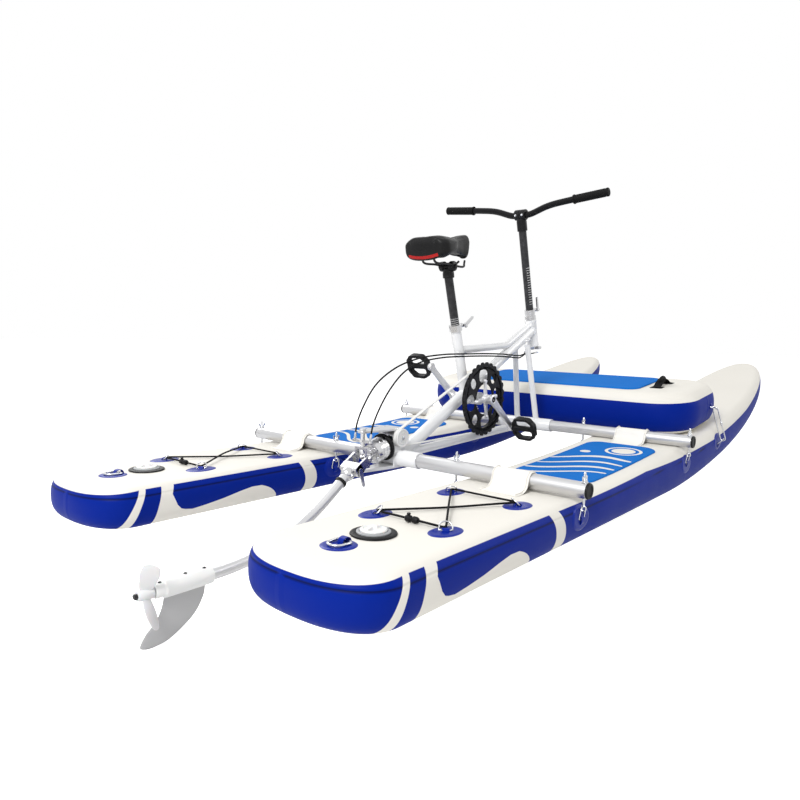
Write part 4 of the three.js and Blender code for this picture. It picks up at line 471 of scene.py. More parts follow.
def tube(a, b, diameter, sides=28, soft=0.0):
    """A straight round bar from a to b, with its two rims eased by soft."""
    a, b = np.asarray(a, float), np.asarray(b, float)
    length = np.linalg.norm(b - a)
    radius = diameter / 2
    profile = [(0, 0), (radius - soft, 0), (radius, soft), (radius, length - soft), (radius - soft, length),
               (0, length)]
    return turned(a, b, profile, sides)


def turned(a, b, profile, sides=36, lobes=0, lobe=0.0):
    """A profile of (radius, reach) pairs turned about the line from a towards b. Lobes put that many
    shallow flutes round it."""
    a, b = np.asarray(a, float), np.asarray(b, float)
    way = unit(b - a)
    helper = Z if abs(way @ Z) < 0.9 else X
    side = unit(np.cross(way, helper))
    up = np.cross(side, way)
    profile = np.asarray(profile, float)
    t = np.linspace(0, 2 * math.pi, sides, endpoint=False)
    radius = profile[:, 0][:, None] * (1 + lobe * np.cos(lobes * t)[None])
    ring = side[None] * np.cos(t)[:, None] + up[None] * np.sin(t)[:, None]
    points = a + radius[:, :, None] * ring[None] + profile[:, 1][:, None, None] * way
    return grid(points, closed=True)


def plate(outline, low, high, place):
    """A flat outline of (u, v) pairs, thick from low to high; place turns (u, v, w) rows into points."""
    outline = np.asarray(outline, float)
    count = len(outline)
    levels = [np.column_stack([outline, np.full(count, w)]) for w in (low, high)]
    points = place(np.concatenate(levels))
    faces = [[i, (i + 1) % count, count + (i + 1) % count, count + i] for i in range(count)]
    faces += [list(range(count))[::-1], list(range(count, 2 * count))]
    return np.asarray(points), faces, {}


def loop_path(points, steps, closed=False, centripetal=True):
    """A smooth line through points: cubic pieces whose end slopes come from the neighbours."""
    p = np.asarray(points, float)
    if closed:
        p = np.concatenate([p[-1:], p, p[:2]])
    else:
        p = np.concatenate([2 * p[:1] - p[1:2], p, 2 * p[-1:] - p[-2:-1]])
    p0, p1, p2, p3 = p[:-3], p[1:-2], p[2:-1], p[3:]
    if centripetal:
        spans = ((p0, p1), (p1, p2), (p2, p3))
        d0, d1, d2 = (np.linalg.norm(b - a, axis=1, keepdims=True) ** 0.5 for a, b in spans)
        m1 = ((p1 - p0) / d0 - (p2 - p0) / (d0 + d1) + (p2 - p1) / d1) * d1
        m2 = ((p2 - p1) / d1 - (p3 - p1) / (d1 + d2) + (p3 - p2) / d2) * d1
    else:
        m1, m2 = (p2 - p0) / 2, (p3 - p1) / 2
    t = np.linspace(0, 1, steps, endpoint=False)[None, :, None]
    q = [x[:, None] for x in (p1, p2, m1, m2)]
    line = (
        (2 * t**3 - 3 * t**2 + 1) * q[0] + (3 * t**2 - 2 * t**3) * q[1]
        + (t**3 - 2 * t**2 + t) * q[2] + (t**3 - t**2) * q[3]
    )
    line = line.reshape(-1, 3)
    return line if closed else np.concatenate([line, p[-2:-1]])


def arc(centre, a, b, start, end, steps):
    """Points centre + a cos t + b sin t, for t from start to end."""
    t = np.linspace(start, end, steps)[:, None]
    return np.asarray(centre) + np.asarray(a) * np.cos(t) + np.asarray(b) * np.sin(t)


def make(name, parts, finish, body, replaces=(), bevel=0.0, sharp=38, recalc=True, weld=0.01):
    """One object from its parts. Doubles are merged, faces turned outwards and edges over the sharp
    angle kept crisp; bevel, in millimetres, eases those edges."""
    points, faces, names = [], [], set()
    for _, _, marks in parts:
        names |= set(marks)
    values = {n: [] for n in names}
    count = 0
    for spots, quads, marks in parts:
        points.append(spots)
        faces += [[i + count for i in face] for face in quads]
        for n in names:
            values[n].append(marks.get(n, np.zeros(len(spots))))
        count += len(spots)
    mesh = bpy.data.meshes.new(name)
    mesh.from_pydata(metres(np.concatenate(points)).tolist(), [], faces)
    for n in names:
        layer = mesh.attributes.new(n, "FLOAT", "POINT")
        layer.data.foreach_set("value", np.concatenate(values[n]).astype(np.float32))
    work = bmesh.new()
    work.from_mesh(mesh)
    if weld:
        bmesh.ops.remove_doubles(work, verts=work.verts, dist=weld * MM)
    if recalc:
        bmesh.ops.recalc_face_normals(work, faces=work.faces)
    work.to_mesh(mesh)
    work.free()
    mesh.shade_smooth()
    mesh.set_sharp_from_angle(angle=sharp * DEG)
    mesh.materials.append(finishes[finish])
    obj = bpy.data.objects.new(name, mesh)
    bpy.context.scene.collection.objects.link(obj)
    if bevel:
        soft = obj.modifiers.new("eased_edges", "BEVEL")
        soft.width = bevel * MM
        soft.segments = 2
        soft.limit_method = "ANGLE"
        soft.angle_limit = sharp * DEG
        soft.harden_normals = True
    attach(obj, body)
    if replaces:
        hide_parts(*replaces)
    return obj


def keep(node, finish, bevel=0.5):
    """A CAD solid whose shape is right: its own mesh, eased at the edges, in a full finish."""
    obj = nodes[node]
    obj.data.materials.clear()
    obj.data.materials.append(finishes[finish])
    joined = obj.modifiers.new("joined", "WELD")
    joined.merge_threshold = 0.02 * MM
    if bevel:
        soft = obj.modifiers.new("eased_edges", "BEVEL")
        soft.width = bevel * MM
        soft.segments = 2
        soft.limit_method = "ANGLE"
        soft.angle_limit = 32 * DEG
        soft.harden_normals = False


ROOT = "hulls_and_frame"

# ---------------------------------------------------------------- pontoons

HULL = dict(
    spacing=834, width=360, floor=45, thick=105, stern=-765, bow=2325, corner=105, crown=12, rail=40,
    taper=1250, deck_rise=280, keel_rise=285, keel_flat=700,
)
GAP = 0.3
RAIL_POWER = 0.8
STERN_POWER = 2 / 2.4
HALF = HULL["width"] / 2
HULL_Y = HULL["spacing"] / 2


def deck_z(x):
    """Height of a pontoon's deck: flat up to x 0, then rising to the bow."""
    return HULL["floor"] + HULL["thick"] + HULL["deck_rise"] * (np.maximum(x, 0) / HULL["bow"]) ** 2


def keel_z(x):
    """Height of a pontoon's bottom: flat up to keel_flat, then rising to the bow."""
    ahead = np.maximum(np.asarray(x, float) - HULL["keel_flat"], 0) / (HULL["bow"] - HULL["keel_flat"])
    return HULL["floor"] + HULL["keel_rise"] * ahead**1.7


def hull_level(x, share):
    """Height on a pontoon's side, as a share of its thickness there."""
    return keel_z(x) + (deck_z(x) - keel_z(x)) * share


def rail_level(b):
    """Bulge b from -1 at the floor's edge to 1 at the deck's: how far the rail is set in there."""
    lean = np.abs(b) ** (1 / RAIL_POWER)
    return HULL["rail"] * (1 - np.sqrt(np.maximum(1 - lean**2, 0)) ** RAIL_POWER)


def rail_point(x, z, out, off=0.0):
    """A point on the straight run of a pontoon's side, off millimetres outside the cloth."""
    low, high = keel_z(x), deck_z(x)
    b = np.clip(2 * (z - low) / (high - low) - 1, -0.999, 0.999)
    y = out * (HALF - rail_level(b))
    e = 0.02
    slope = (rail_level(np.minimum(b + e, 0.9999)) - rail_level(b - e)) / (e * (high - low))
    normal = unit(np.stack([np.zeros_like(y), out * np.ones_like(y), out * slope * out], -1))
    return np.stack(np.broadcast_arrays(x, y, z), -1) + normal * np.asarray(off)[..., None]


def hull_plan():
    """Half plan of a pontoon from the stern's middle to the bow's tip: a squared ellipse round the
    stern, a straight run, and a quarter ellipse to the bow."""
    depth = HULL["crown"] + HULL["corner"]
    a = np.linspace(0, math.pi / 2, 34, endpoint=False)
    w1 = HALF * np.sin(a) ** STERN_POWER
    x1 = HULL["stern"] + depth * (1 - np.cos(a) ** STERN_POWER)
    x2 = np.linspace(HULL["stern"] + depth, HULL["taper"], 170, endpoint=False)
    b = np.linspace(0, math.pi / 2, 60)
    x3 = HULL["taper"] + (HULL["bow"] - HULL["taper"]) * np.sin(b)
    w3 = HALF * np.maximum(np.cos(b), 0) ** RAIL_POWER
    return np.concatenate([x1, x2, x3]), np.concatenate([w1, np.full(len(x2), HALF), w3])


BLUE_TOP = ([-765, -650, 466, 700, 992, 1130, 1640, 2005, 2325], [17, 9, 10, 22, 34, 40, 40, 28, 20])
SEAM_LINE = ([-765, 466, 1130, 2325], [24, 24, 50, 34])
CROSS_SEAMS = (800.0, 1340.0)
# rear edge, its lean and sag, then the same of the front edge
STRIPES = (
    (-656, 0.52, 0, -639, 0.44, 0),
    (-597, 0.30, 0, -562, 0.0, -14),
    (-142, -0.12, 12, -96, -0.14, 12),
)
SWELL = (
    [-600, -566, -556, -544, -514, -476, -419, -366, -325, -289, -261, -240, -226, -218],
    [200, 104, 84, 75, 70, 74, 82, 92, 98, 97, 86, 70, 52, 30],
)
SWELL_ENDS = (-585, -218)
NOWHERE = 99.0


def bands(x, z, h, up):
    """The rail's colour as three marks, positive inside the blue: below the deck line and above the
    floor line; outside the three leaning stripes; above the cream swell at the bottom."""
    edge = np.minimum(h - np.interp(x, *BLUE_TOP), up - 4)
    level = 141 - np.minimum(z, 150)
    stripes = np.full_like(x, 999.0)
    bow = np.sin(np.clip(level / 90, 0, 1) * math.pi)
    for low_x, low_run, low_sag, high_x, high_run, high_sag in STRIPES:
        rear = low_x - low_run * level + low_sag * bow
        front = high_x - high_run * level + high_sag * bow
        stripes = np.minimum(stripes, np.maximum(rear - x, x - front))
    inside = (x > SWELL_ENDS[0]) & (x < SWELL_ENDS[1])
    swell = np.where(inside, z - np.interp(x, *SWELL), NOWHERE)
    return edge, stripes, swell


def pontoon(name, side):
    """Skin of one pontoon. Each row is a loop round the section: rail, floor, rail, deck."""
    px, pw = hull_plan()
    ax = np.concatenate([[px[1]], px, [px[-2]]])
    aw = np.concatenate([[-pw[1]], pw, [-pw[-2]]])
    run = np.stack([-(aw[2:] - aw[:-2]), ax[2:] - ax[:-2]], -1)
    normal = unit(run)
    lean = np.linspace(math.pi / 2, -math.pi / 2, 33)
    inset = HULL["rail"] * (1 - np.maximum(np.cos(lean), 0) ** RAIL_POWER)
    bulge = np.sign(np.sin(lean)) * np.abs(np.sin(lean)) ** RAIL_POWER
    x = px[:, None] - normal[:, :1] * inset
    w = np.maximum(pw[:, None] - normal[:, 1:] * inset, 0.3)
    w[0], w[-1] = 0, 0
    low, high = keel_z(x), deck_z(x)
    z = low + (high - low) * (0.5 + bulge / 2)
    right = np.stack([x, w, z], -1)
    left = np.stack([x, -w, z], -1)[:, ::-1]
    across = np.linspace(1, -1, 14)[None, 1:-1, None]
    middle = (right[:, -1:] + left[:, :1]) / 2
    floor = middle + (right[:, -1:] - middle) * across
    top_middle = (right[:, :1] + left[:, -1:]) / 2
    deck = top_middle + (left[:, -1:] - top_middle) * across
    rows = np.concatenate([right, floor, left, deck], axis=1)
    gx, gz = rows[..., 0], rows[..., 2]
    h = deck_z(gx) - gz
    up = gz - keel_z(gx)
    edge, stripes, swell = bands(gx, gz, h, up)
    line = np.interp(gx, *SEAM_LINE)
    seam = np.exp(-((h - line + 4) / 2.4) ** 2) * 0.5 - np.exp(-((h - line) / 1.5) ** 2) * 0.9
    for seam_x in CROSS_SEAMS:
        seam = seam + np.exp(-((gx - seam_x) / 5.0) ** 2) * (h > 4) * 0.8
    seam = seam + np.exp(-((rows[..., 1] + side * 14) / 4.0) ** 2) * (gx < -700) * (h > 2) * 0.8
    rows = rows + at(0, side * HULL_Y, 0)
    part = grid(rows, closed=True, edge=edge, stripes=stripes, swell=swell, seam=seam)
    return make(f"pontoon_{name}", [part], "hull", ROOT, [f"hull_{name}"], sharp=60, weld=0.35)


def oval_patch(place, long, wide, rise=2.4, rings=10, sides=44):
    """A glued patch: a low dome whose rim rolls down to the cloth. Place turns (u, v, off) into points."""
    r = np.linspace(0, 1, rings) ** 0.6
    t = np.linspace(0, 2 * math.pi, sides, endpoint=False)
    u = r[:, None] * np.cos(t) * long / 2
    v = r[:, None] * np.sin(t) * wide / 2
    lip = 0.5 * np.exp(-((r - 0.82) / 0.05) ** 2)
    off = np.broadcast_to((rise * (1 - r**10) + lip - 0.3)[:, None], u.shape)
    return grid(place(u, v, off), closed=True)


def strap_loop(foot, run, across, up, width, span, rise, thick=1.6):
    """A webbing tab over a ring's straight side: an arch along run, width across."""
    t = np.linspace(0, math.pi, 15)
    line = foot + np.outer(-np.cos(t) * span / 2, run) + np.outer(np.sin(t) ** 0.7 * rise, up)
    normal = unit(np.outer(-np.cos(t), run) + np.outer(np.sin(t), up))
    rows = [line - across * width / 2, line + across * width / 2]
    rows += [r + normal * thick for r in rows[::-1]]
    return grid(np.stack(rows, 1), closed=True)


def dee(foot, across, out, width, rise, wire, sides=10):
    """A D ring: its straight side at foot, its bow carried by out."""
    side = width / 2
    bow = arc(foot + out * (rise - side * 0.55), across * side, out * side * 0.9, 0, math.pi, 17)
    base = np.array([foot - across * side, foot, foot + across * side])
    path = loop_path(np.concatenate([bow, base[:1] + out * 0.5, base[1:2], base[2:] + out * 0.5]), 3,
                     closed=True)
    plane = np.cross(across, out)
    return sweep(path, wire / 2, sides, across=plane, closed=True)


BUNGEE = [(-152, 93), (-432, -93), (-432, 93), (-152, -93)]
RAIL_SPOTS = (0.0, 802.0)
CLIP_X = 1170.0
STERN_RING_X = -636.0
STERN_RING_Z = 155.3
PATCH_LEVEL, CLIP_LEVEL, HOOK_LEVEL = 0.6, 0.72, 0.83
HOOK_OUTSET = 185
RING_DROP = 26


def hull_fittings(name, side):
    """Patches, webbing tabs and fixed rings of one pontoon, in the pontoon's own Y."""
    shift = at(0, side * HULL_Y, 0)
    patches, tabs, rings = [], [], []

    def on_deck(cx, cy):
        def place(u, v, off):
            return np.stack([cx + u, cy + v, deck_z(cx + u) + off], -1) + shift
        return place

    for x, y in BUNGEE:
        patches.append(oval_patch(on_deck(x, y), 90, 62))
        out = unit(at(-292 - x, -y * 1.2, 0)) * 0.7 + Z * 0.72
        across = unit(np.cross(Z, out))
        foot = at(x, y, deck_z(x) + 3.6) + shift
        rings.append(dee(foot, across, unit(out), 26, 15, 3.2))
        tabs.append(strap_loop(foot - Z * 2.2, unit(np.cross(across, Z)), across, Z, 15, 13, 5.2))
    patches.append(oval_patch(on_deck(STERN_RING_X, 0), 72, 72))
    foot = at(STERN_RING_X + 15, 0, deck_z(0) + 2.2) + shift
    tabs.append(strap_loop(foot, X, Y, Z, 14, 20, 9.5))

    spots = [(x, way) for x in RAIL_SPOTS for way in (side, -side)] + [(CLIP_X, side)]
    for x, way in spots:
        cz = hull_level(x, PATCH_LEVEL)
        patches.append(oval_patch(
            lambda u, v, off: rail_point(x + u, cz + v, way, off) + shift, 92, 62))
        if x == CLIP_X:
            foot = at(x, way * (HALF + 0.8), hull_level(x, CLIP_LEVEL) - RING_DROP) + shift
            out = unit(at(0, way, 1))
            rings.append(dee(foot, X, out, 26, 25.5, 3.2))
            tabs.append(strap_loop(foot - at(0, way * 0.5, 3), Z, X, at(0, way, 0), 14, 18, 4.5))
        else:
            top = at(x, way * HOOK_OUTSET, hull_level(x, HOOK_LEVEL))
            foot = at(x, way * (HALF + 0.9), top[2] - RING_DROP)
            rings.append(dee(foot + shift, X, unit(top - foot), 26, 27.5, 3.2))
            tabs.append(strap_loop(foot + shift - at(0, way * 0.4, 3), Z, X, at(0, way, 0), 14, 18, 4.5))
    make(f"patches_{name}", patches, "patch", ROOT)
    make(f"ring_tabs_{name}", tabs, "patch", ROOT)
    make(f"fixed_rings_{name}", rings, "steel", ROOT)


def stern_ring(name, side):
    """Loose D ring on the deck's stern tab: it rides on its own body."""
    hinge = at(STERN_RING_X + 15, side * HULL_Y, STERN_RING_Z)
    make(f"loose_ring_{name}", [dee(hinge, Y, -X, 34, 30, 5, 14)], "steel", f"{name}_stern_ring",
         [f"stern_ring_{name}"])


VALVE_X = -541.0


def valve(name, side):
    """Inflation valve: a flat black ring, a pale collar, and a bayonet cap with its two wings."""
    base = at(VALVE_X, side * HULL_Y, deck_z(0) + GAP)
    up = base + Z * 30
    ring = turned(base, up, [(0, 0), (46, 0), (47, 1), (46, 3.4), (43, 4.6), (35.5, 4.6), (34.5, 4), (0, 4)],
                  64)
    collar = turned(base, up, [(0, 3), (34.2, 3), (34.2, 6.2), (32.5, 7.4), (28.6, 7.4), (28, 6), (0, 6)], 64)
    cap = turned(base, up, [(0, 5), (26.5, 5), (27.2, 9), (26, 11), (21, 11.6), (20, 9.6), (0, 9.6)], 72, 18,
                 0.02)
    wings = []
    for way in (1, -1):
        rows = []
        for share in np.linspace(0, 1, 7):
            x = 6 + 14 * share
            tall = 6.6 - 2.2 * share
            rows.append([(way * x, -3.2 - share, 9.2), (way * x, 3.2 + share, 9.2),
                         (way * x, 2.6 + share, 9.2 + tall), (way * x, -2.6 - share, 9.2 + tall)])
        rows = np.array(rows) + base
        wings.append(capped(rows))
    lead = sweep(arc(base + at(0, 0, 8), at(31, 0, 0), at(0, 31, 0), -0.5, 1.6, 14), (2.2, 1.1), 10, across=Z)
    make(f"valve_ring_{name}", [ring], "plastic", ROOT, [f"valve_{name}"], bevel=0.3)
    make(f"valve_collar_{name}", [collar, lead], "rubber_seal", ROOT, bevel=0.3)
    make(f"valve_cap_{name}", [cap, *wings], "white", ROOT, bevel=0.5)


PAD = dict(rear=165.0, front=720.0, width=236.0, thick=5.0, corner=50.0)


def rounded_distance(x, y, cx, cy, hx, hy, r):
    """How far inside a rounded rectangle a point is."""
    dx = np.abs(x - cx) - (hx - r)
    dy = np.abs(y - cy) - (hy - r)
    return r - (np.hypot(np.maximum(dx, 0), np.maximum(dy, 0)) + np.minimum(np.maximum(dx, dy), 0))


def pad_plan(length, width, corner, columns, rows):
    """Rows across a rounded rectangle: each column's half width shrinks round the end corners."""
    u = -np.cos(np.linspace(0, math.pi, columns)) * length / 2
    near = np.maximum(np.abs(u) - (length / 2 - corner), 0)
    half = width / 2 - corner + np.sqrt(np.maximum(corner**2 - near**2, 0))
    v = np.sin(np.linspace(-1, 1, rows) * math.pi / 2)
    return np.broadcast_to(u[:, None], (columns, rows)), half[:, None] * v[None]


def foam_slab(u, v, inside, thick, place, **marks):
    """A closed foam sheet: flat below, its top edge rolled over by the square root of the distance in."""
    top = thick * np.clip(0.35 + 0.65 * np.sqrt(np.clip(inside / 5.0, 0, 1)), 0, 1)
    upper = place(u, v, top)
    lower = place(u, v, np.zeros_like(u))
    rim = {n: np.concatenate([m, m[:, ::-1]], 1) for n, m in marks.items()}
    rows = np.concatenate([upper, lower[:, ::-1]], axis=1)
    return grid(rows, closed=True, **rim)


def deck_pad(name, side):
    """Foam deck pad with cream running waves and two discs."""
    length = PAD["front"] - PAD["rear"]
    centre = (PAD["front"] + PAD["rear"]) / 2
    u, v = pad_plan(length, PAD["width"], PAD["corner"], 150, 64)
    inside = rounded_distance(u, v, 0, 0, length / 2, PAD["width"] / 2, PAD["corner"])
    waves = np.full_like(u, -NOWHERE)
    for k, (offset, wide) in enumerate(((-196, 15), (-128, 20), (-52, 17), (30, 22))):
        centre_line = offset + 30 * np.sin(v * side / PAD["width"] * 5.2 + 0.5 * k) + v * side * 0.35
        taper = wide * (0.35 + 0.65 * np.cos(np.clip(v / PAD["width"], -0.5, 0.5) * math.pi) ** 0.6)
        waves = np.maximum(waves, taper / 2 - np.abs(u - centre_line) * 0.86)
    disc = 37 - np.hypot(u - 175, v - side * 38)
    ring = np.minimum(58 - np.hypot(u - 175, v - side * 38), np.hypot(u - 175, v - side * 38) - 48)
    low_disc = 17 - np.hypot(u - 108, v + side * 62)
    motif = np.minimum(np.maximum.reduce([waves, disc, ring, low_disc]), inside - 6)
    groove = np.exp(-(motif / 1.1) ** 2) + np.exp(-((inside - 9) / 0.9) ** 2)

    def place(a, b, off):
        x = a + centre
        return np.stack([x, b + side * HULL_Y, deck_z(x) + GAP + off], -1)

    part = foam_slab(u, v, inside, PAD["thick"], place, motif=motif, groove=groove)
    obj = make(f"deck_foam_{name}", [part], "foam", ROOT, [f"deck_pad_{name}"], weld=0.02)


def bungee(name, side):
    """Elastic cord crossed between the four deck rings, and the cord lock on its rear run."""
    z = deck_z(0) + 2.5 + 6
    shift = at(0, side * HULL_Y, 0)
    corners = [at(x, y, z) for x, y in BUNGEE]
    a, b, c, d = corners
    over = (a + b) / 2 + Z * 6
    under = (c + d) / 2 - Z * 3
    turns = [a, over, b, c, under, d]
    line = []
    for i, spot in enumerate(turns):
        if spot is over or spot is under:
            line.append(spot)
            continue
        before = unit(turns[i - 1] - spot) * 12
        after = unit(turns[(i + 1) % 6] - spot) * 12
        line += [spot + before * 5, spot + before, spot + (before + after) * 0.2, spot + after,
                 spot + after * 5]
    path = loop_path(np.array(line), 6, closed=True) + shift
    make(f"elastic_cord_{name}", [sweep(path, 2.5, 10, across=Z, closed=True)], "cord", ROOT,
         [f"bungee_{name}"], sharp=80)
    lock_from = c + (b - c) * 0.45 + shift
    way = unit(b - c)

    def p(reach):
        return lock_from + way * reach

    barrels = [
        turned(p(0), p(34), [(0, 0), (4.5, 0), (6.8, 2), (7.5, 6), (7.5, 13), (5.6, 15), (4.8, 17), (5.6, 19),
                             (7.2, 21), (7.2, 29), (5.6, 33), (0, 34)], 24),
        turned(p(8) + Z * 5, p(8) + Z * 20,
               [(0, 0), (3.6, 0), (3.6, 4), (4.2, 4.6), (4.2, 6.4), (3.4, 7), (0, 7)], 20),
    ]
    make(f"cord_lock_{name}", barrels, "plastic", ROOT, bevel=0.4)


for side_name, side_way in SIDES.items():
    pontoon(side_name, side_way)
    hull_fittings(side_name, side_way)
    stern_ring(side_name, side_way)
    valve(side_name, side_way)
    deck_pad(side_name, side_way)
    bungee(side_name, side_way)

# ---------------------------------------------------------------- cross bars

BAR_D = 40.0
BAR_START, BAR_END = 26, 611
PLUG_START = 606.3
SLEEVE_Y = 412
REAR = at(0, 0, 176.144)
FRONT = at(802, 0, 204.167)


def cross_bar(end, centre, name, side):
    """Tube with its end plug, and two hooked rods through it, each drawn up by a wing nut."""
    run = BAR_END - BAR_START
    shell = turned(centre + Y * side * BAR_START, centre + Y * side * BAR_END,
                   [(17.5, 0), (19.6, 0), (20, 0.5), (20, run - 0.5), (19.6, run), (17.5, run), (17.5, 0)], 40)
    make(f"{end}_tube_{name}", [shell], "tube", ROOT, [f"{end}_bar_{name}"], bevel=0.3)
    rods, nuts = [], []
    for y in (HULL_Y + HOOK_OUTSET, HULL_Y - HOOK_OUTSET):
        x, y = centre[0], side * y
        eye_z = hull_level(x, HOOK_LEVEL)
        top = centre[2] + 44
        rods.append(turned(at(x, y, eye_z + 6), at(x, y, top),
                           [(0, 0), (3, 0), (3, top - eye_z - 7.5), (2, top - eye_z - 6), (0, top - eye_z - 6)],
                           16))
        hook = arc(at(x, y, eye_z), Z * 6, Y * 6, 0, 2 * math.pi * 0.97, 22)
        rods.append(sweep(hook, 1.9, 10, across=X))
        for k in range(7):
            grip = at(x, y, top - 4 - k * 2.2)
            rods.append(turned(grip, grip + Z, [(2.9, 0), (3.35, 0.5), (2.9, 1)], 14))
        seat = at(x, y, centre[2] + 19)
        nuts.append(turned(seat, seat + Z * 20,
                           [(0, 0), (9, 0), (9, 1.6), (6.8, 1.8), (6.2, 7), (4.6, 9), (0, 9)], 24))
        for way in (1, -1):
            wing = [(3, 2), (8, 3), (12.2, 8), (13.2, 14), (11.2, 16), (8.4, 13.4), (6, 9.5), (3, 8)]
            nuts.append(plate([(way * u, v) for u, v in wing], -1.2, 1.2,
                              lambda q: seat + np.stack([q[:, 0], q[:, 2], q[:, 1]], -1)))
    make(f"{end}_tie_rods_{name}", rods, "steel", ROOT, sharp=50)
    make(f"{end}_wing_nuts_{name}", nuts, "steel", ROOT, bevel=0.4)
    start = centre + Y * side * PLUG_START
    plug = turned(start, start + Y * side * 12,
                  [(0, 0), (17, 0), (17, 5), (19.9, 5), (20, 8.6), (18.4, 10.9), (13, 11), (12.4, 9.6),
                   (0, 9.4)], 40)
    make(f"{end}_end_plug_{name}", [plug], "plastic", ROOT, [f"{end}_plug_{name}"])


def sleeve(end, centre, name, side):
    """Coated cloth over the bar: a half round that sweeps down into two feet glued on the deck."""
    x0, z0 = centre[0], centre[2]
    r = BAR_D / 2 + 2.6
    turn = np.linspace(18, 162, 25) * DEG
    round_part = np.stack([x0 + r * np.cos(turn), z0 + r * np.sin(turn)], -1)
    deck0 = deck_z(x0)

    def flank(way):
        s = np.linspace(0, 1, 15)[:, None]
        foot_x = x0 + way * 78
        p0 = np.array([foot_x, deck_z(foot_x) + 0.9])
        p1 = np.array([x0 + way * 40, deck_z(x0 + way * 40) + 1.0])
        p2 = np.array([x0 + way * 27, deck0 + 3])
        p3 = np.array([x0 + way * r * math.cos(18 * DEG), z0 + r * math.sin(18 * DEG)])
        return (1 - s) ** 3 * p0 + 3 * s * (1 - s) ** 2 * p1 + 3 * s**2 * (1 - s) * p2 + s**3 * p3

    line = np.concatenate([flank(1)[:-1], round_part, flank(-1)[:-1][::-1]])
    width = 108.0
    share = np.linspace(0, 1, len(line))
    v = np.linspace(-1, 1, 25)
    along = share[:, None]
    pucker = 0.5 * np.sin(v[None] * 11 + 1.3 * np.sin(along * 9)) * np.sin(along * math.pi) ** 2
    pucker = pucker * (np.abs(share[:, None] - 0.5) > 0.22) * 1.2
    normal = -unit(np.stack([-np.gradient(line[:, 1]), np.gradient(line[:, 0])], -1))
    body = line[:, None] + normal[:, None] * pucker[..., None]
    y = side * SLEEVE_Y + v * width / 2
    rows = np.stack([body[..., 0], np.broadcast_to(y, body.shape[:2]), body[..., 1]], -1)
    obj = make(f"{end}_cloth_sleeve_{name}", [grid(rows)], "sleeve", ROOT, [f"{end}_sleeve_{name}"],
               sharp=80)
    wall = obj.modifiers.new("cloth", "SOLIDIFY")
    wall.thickness = 1.6 * MM
    wall.offset = 0
    hems = []
    for edge in (-1, 1):
        y = np.full(len(line), side * SLEEVE_Y + edge * (width / 2 - 5))
        path = np.stack([line[:, 0], y, line[:, 1]], -1)
        path[:, [0, 2]] += normal * 0.9
        hems.append(sweep(path, (3.6, 0.55), 10, across=Y))
    for way in (1, -1):
        fx = x0 + way * 70
        ys = side * SLEEVE_Y + np.linspace(-1, 1, 9) * (width / 2 - 3)
        path = np.array([[fx, y, deck_z(fx) + 2.0] for y in ys])
        hems.append(sweep(path, (0.6, 4.5), 10, across=X))
    make(f"{end}_sleeve_welds_{name}", hems, "sleeve", ROOT, sharp=70)


for side_name, side_way in SIDES.items():
    for end_name, end_centre in (("rear", REAR), ("front", FRONT)):
        cross_bar(end_name, end_centre, side_name, side_way)
        sleeve(end_name, end_centre, side_name, side_way)

# ---------------------------------------------------------------- cross platform

PLATFORM = dict(length=1134.0, depth=450.0, thick=150.0, rear=890.0, inset=55.0, rail=62.0, corner=150.0)
STATIONS = np.linspace(-648.0, 1250.0, 10)


def deck_line(x):
    """The deck as the solids have it, straight between stations."""
    return float(np.interp(x, STATIONS, deck_z(STATIONS)))


RUN_LOW = PLATFORM["rear"] + PLATFORM["inset"]
RUN_HIGH = PLATFORM["rear"] + PLATFORM["depth"] - PLATFORM["inset"]
TILT = math.atan2(deck_line(RUN_HIGH) - deck_line(RUN_LOW), RUN_HIGH - RUN_LOW)


def on_platform(points):
    """(ahead, across, up) about the platform's middle and underside, placed on the decks."""
    p = np.asarray(points, float)
    ahead, across, up = p[..., 0] + PLATFORM["depth"] / 2 - PLATFORM["inset"], p[..., 1], p[..., 2]
    x = RUN_LOW + ahead * math.cos(TILT) - up * math.sin(TILT)
    z = deck_line(RUN_LOW) + GAP + ahead * math.sin(TILT) + up * math.cos(TILT)
    return np.stack([x, across, z], -1)


def slab_outline(length, width, corner, straight=24, curve=14):
    """Half plan of a rounded rectangle, from the middle of one end to the middle of the other."""
    w0 = np.linspace(0, width / 2 - corner, 8, endpoint=False)
    a = np.linspace(0, math.pi / 2, curve, endpoint=False)
    x1 = -length / 2 + corner * (1 - np.cos(a))
    w1 = width / 2 - corner * (1 - np.sin(a))
    x2 = np.linspace(-length / 2 + corner, length / 2 - corner, straight, endpoint=False)
    x = np.concatenate([np.full(8, -length / 2), x1, x2])
    w = np.concatenate([w0, w1, np.full(straight, width / 2)])
    back = slice(7 + curve, None, -1)
    return np.concatenate([x, [length / 2 - corner], -x[back]]), np.concatenate([w, [width / 2], w[back]])


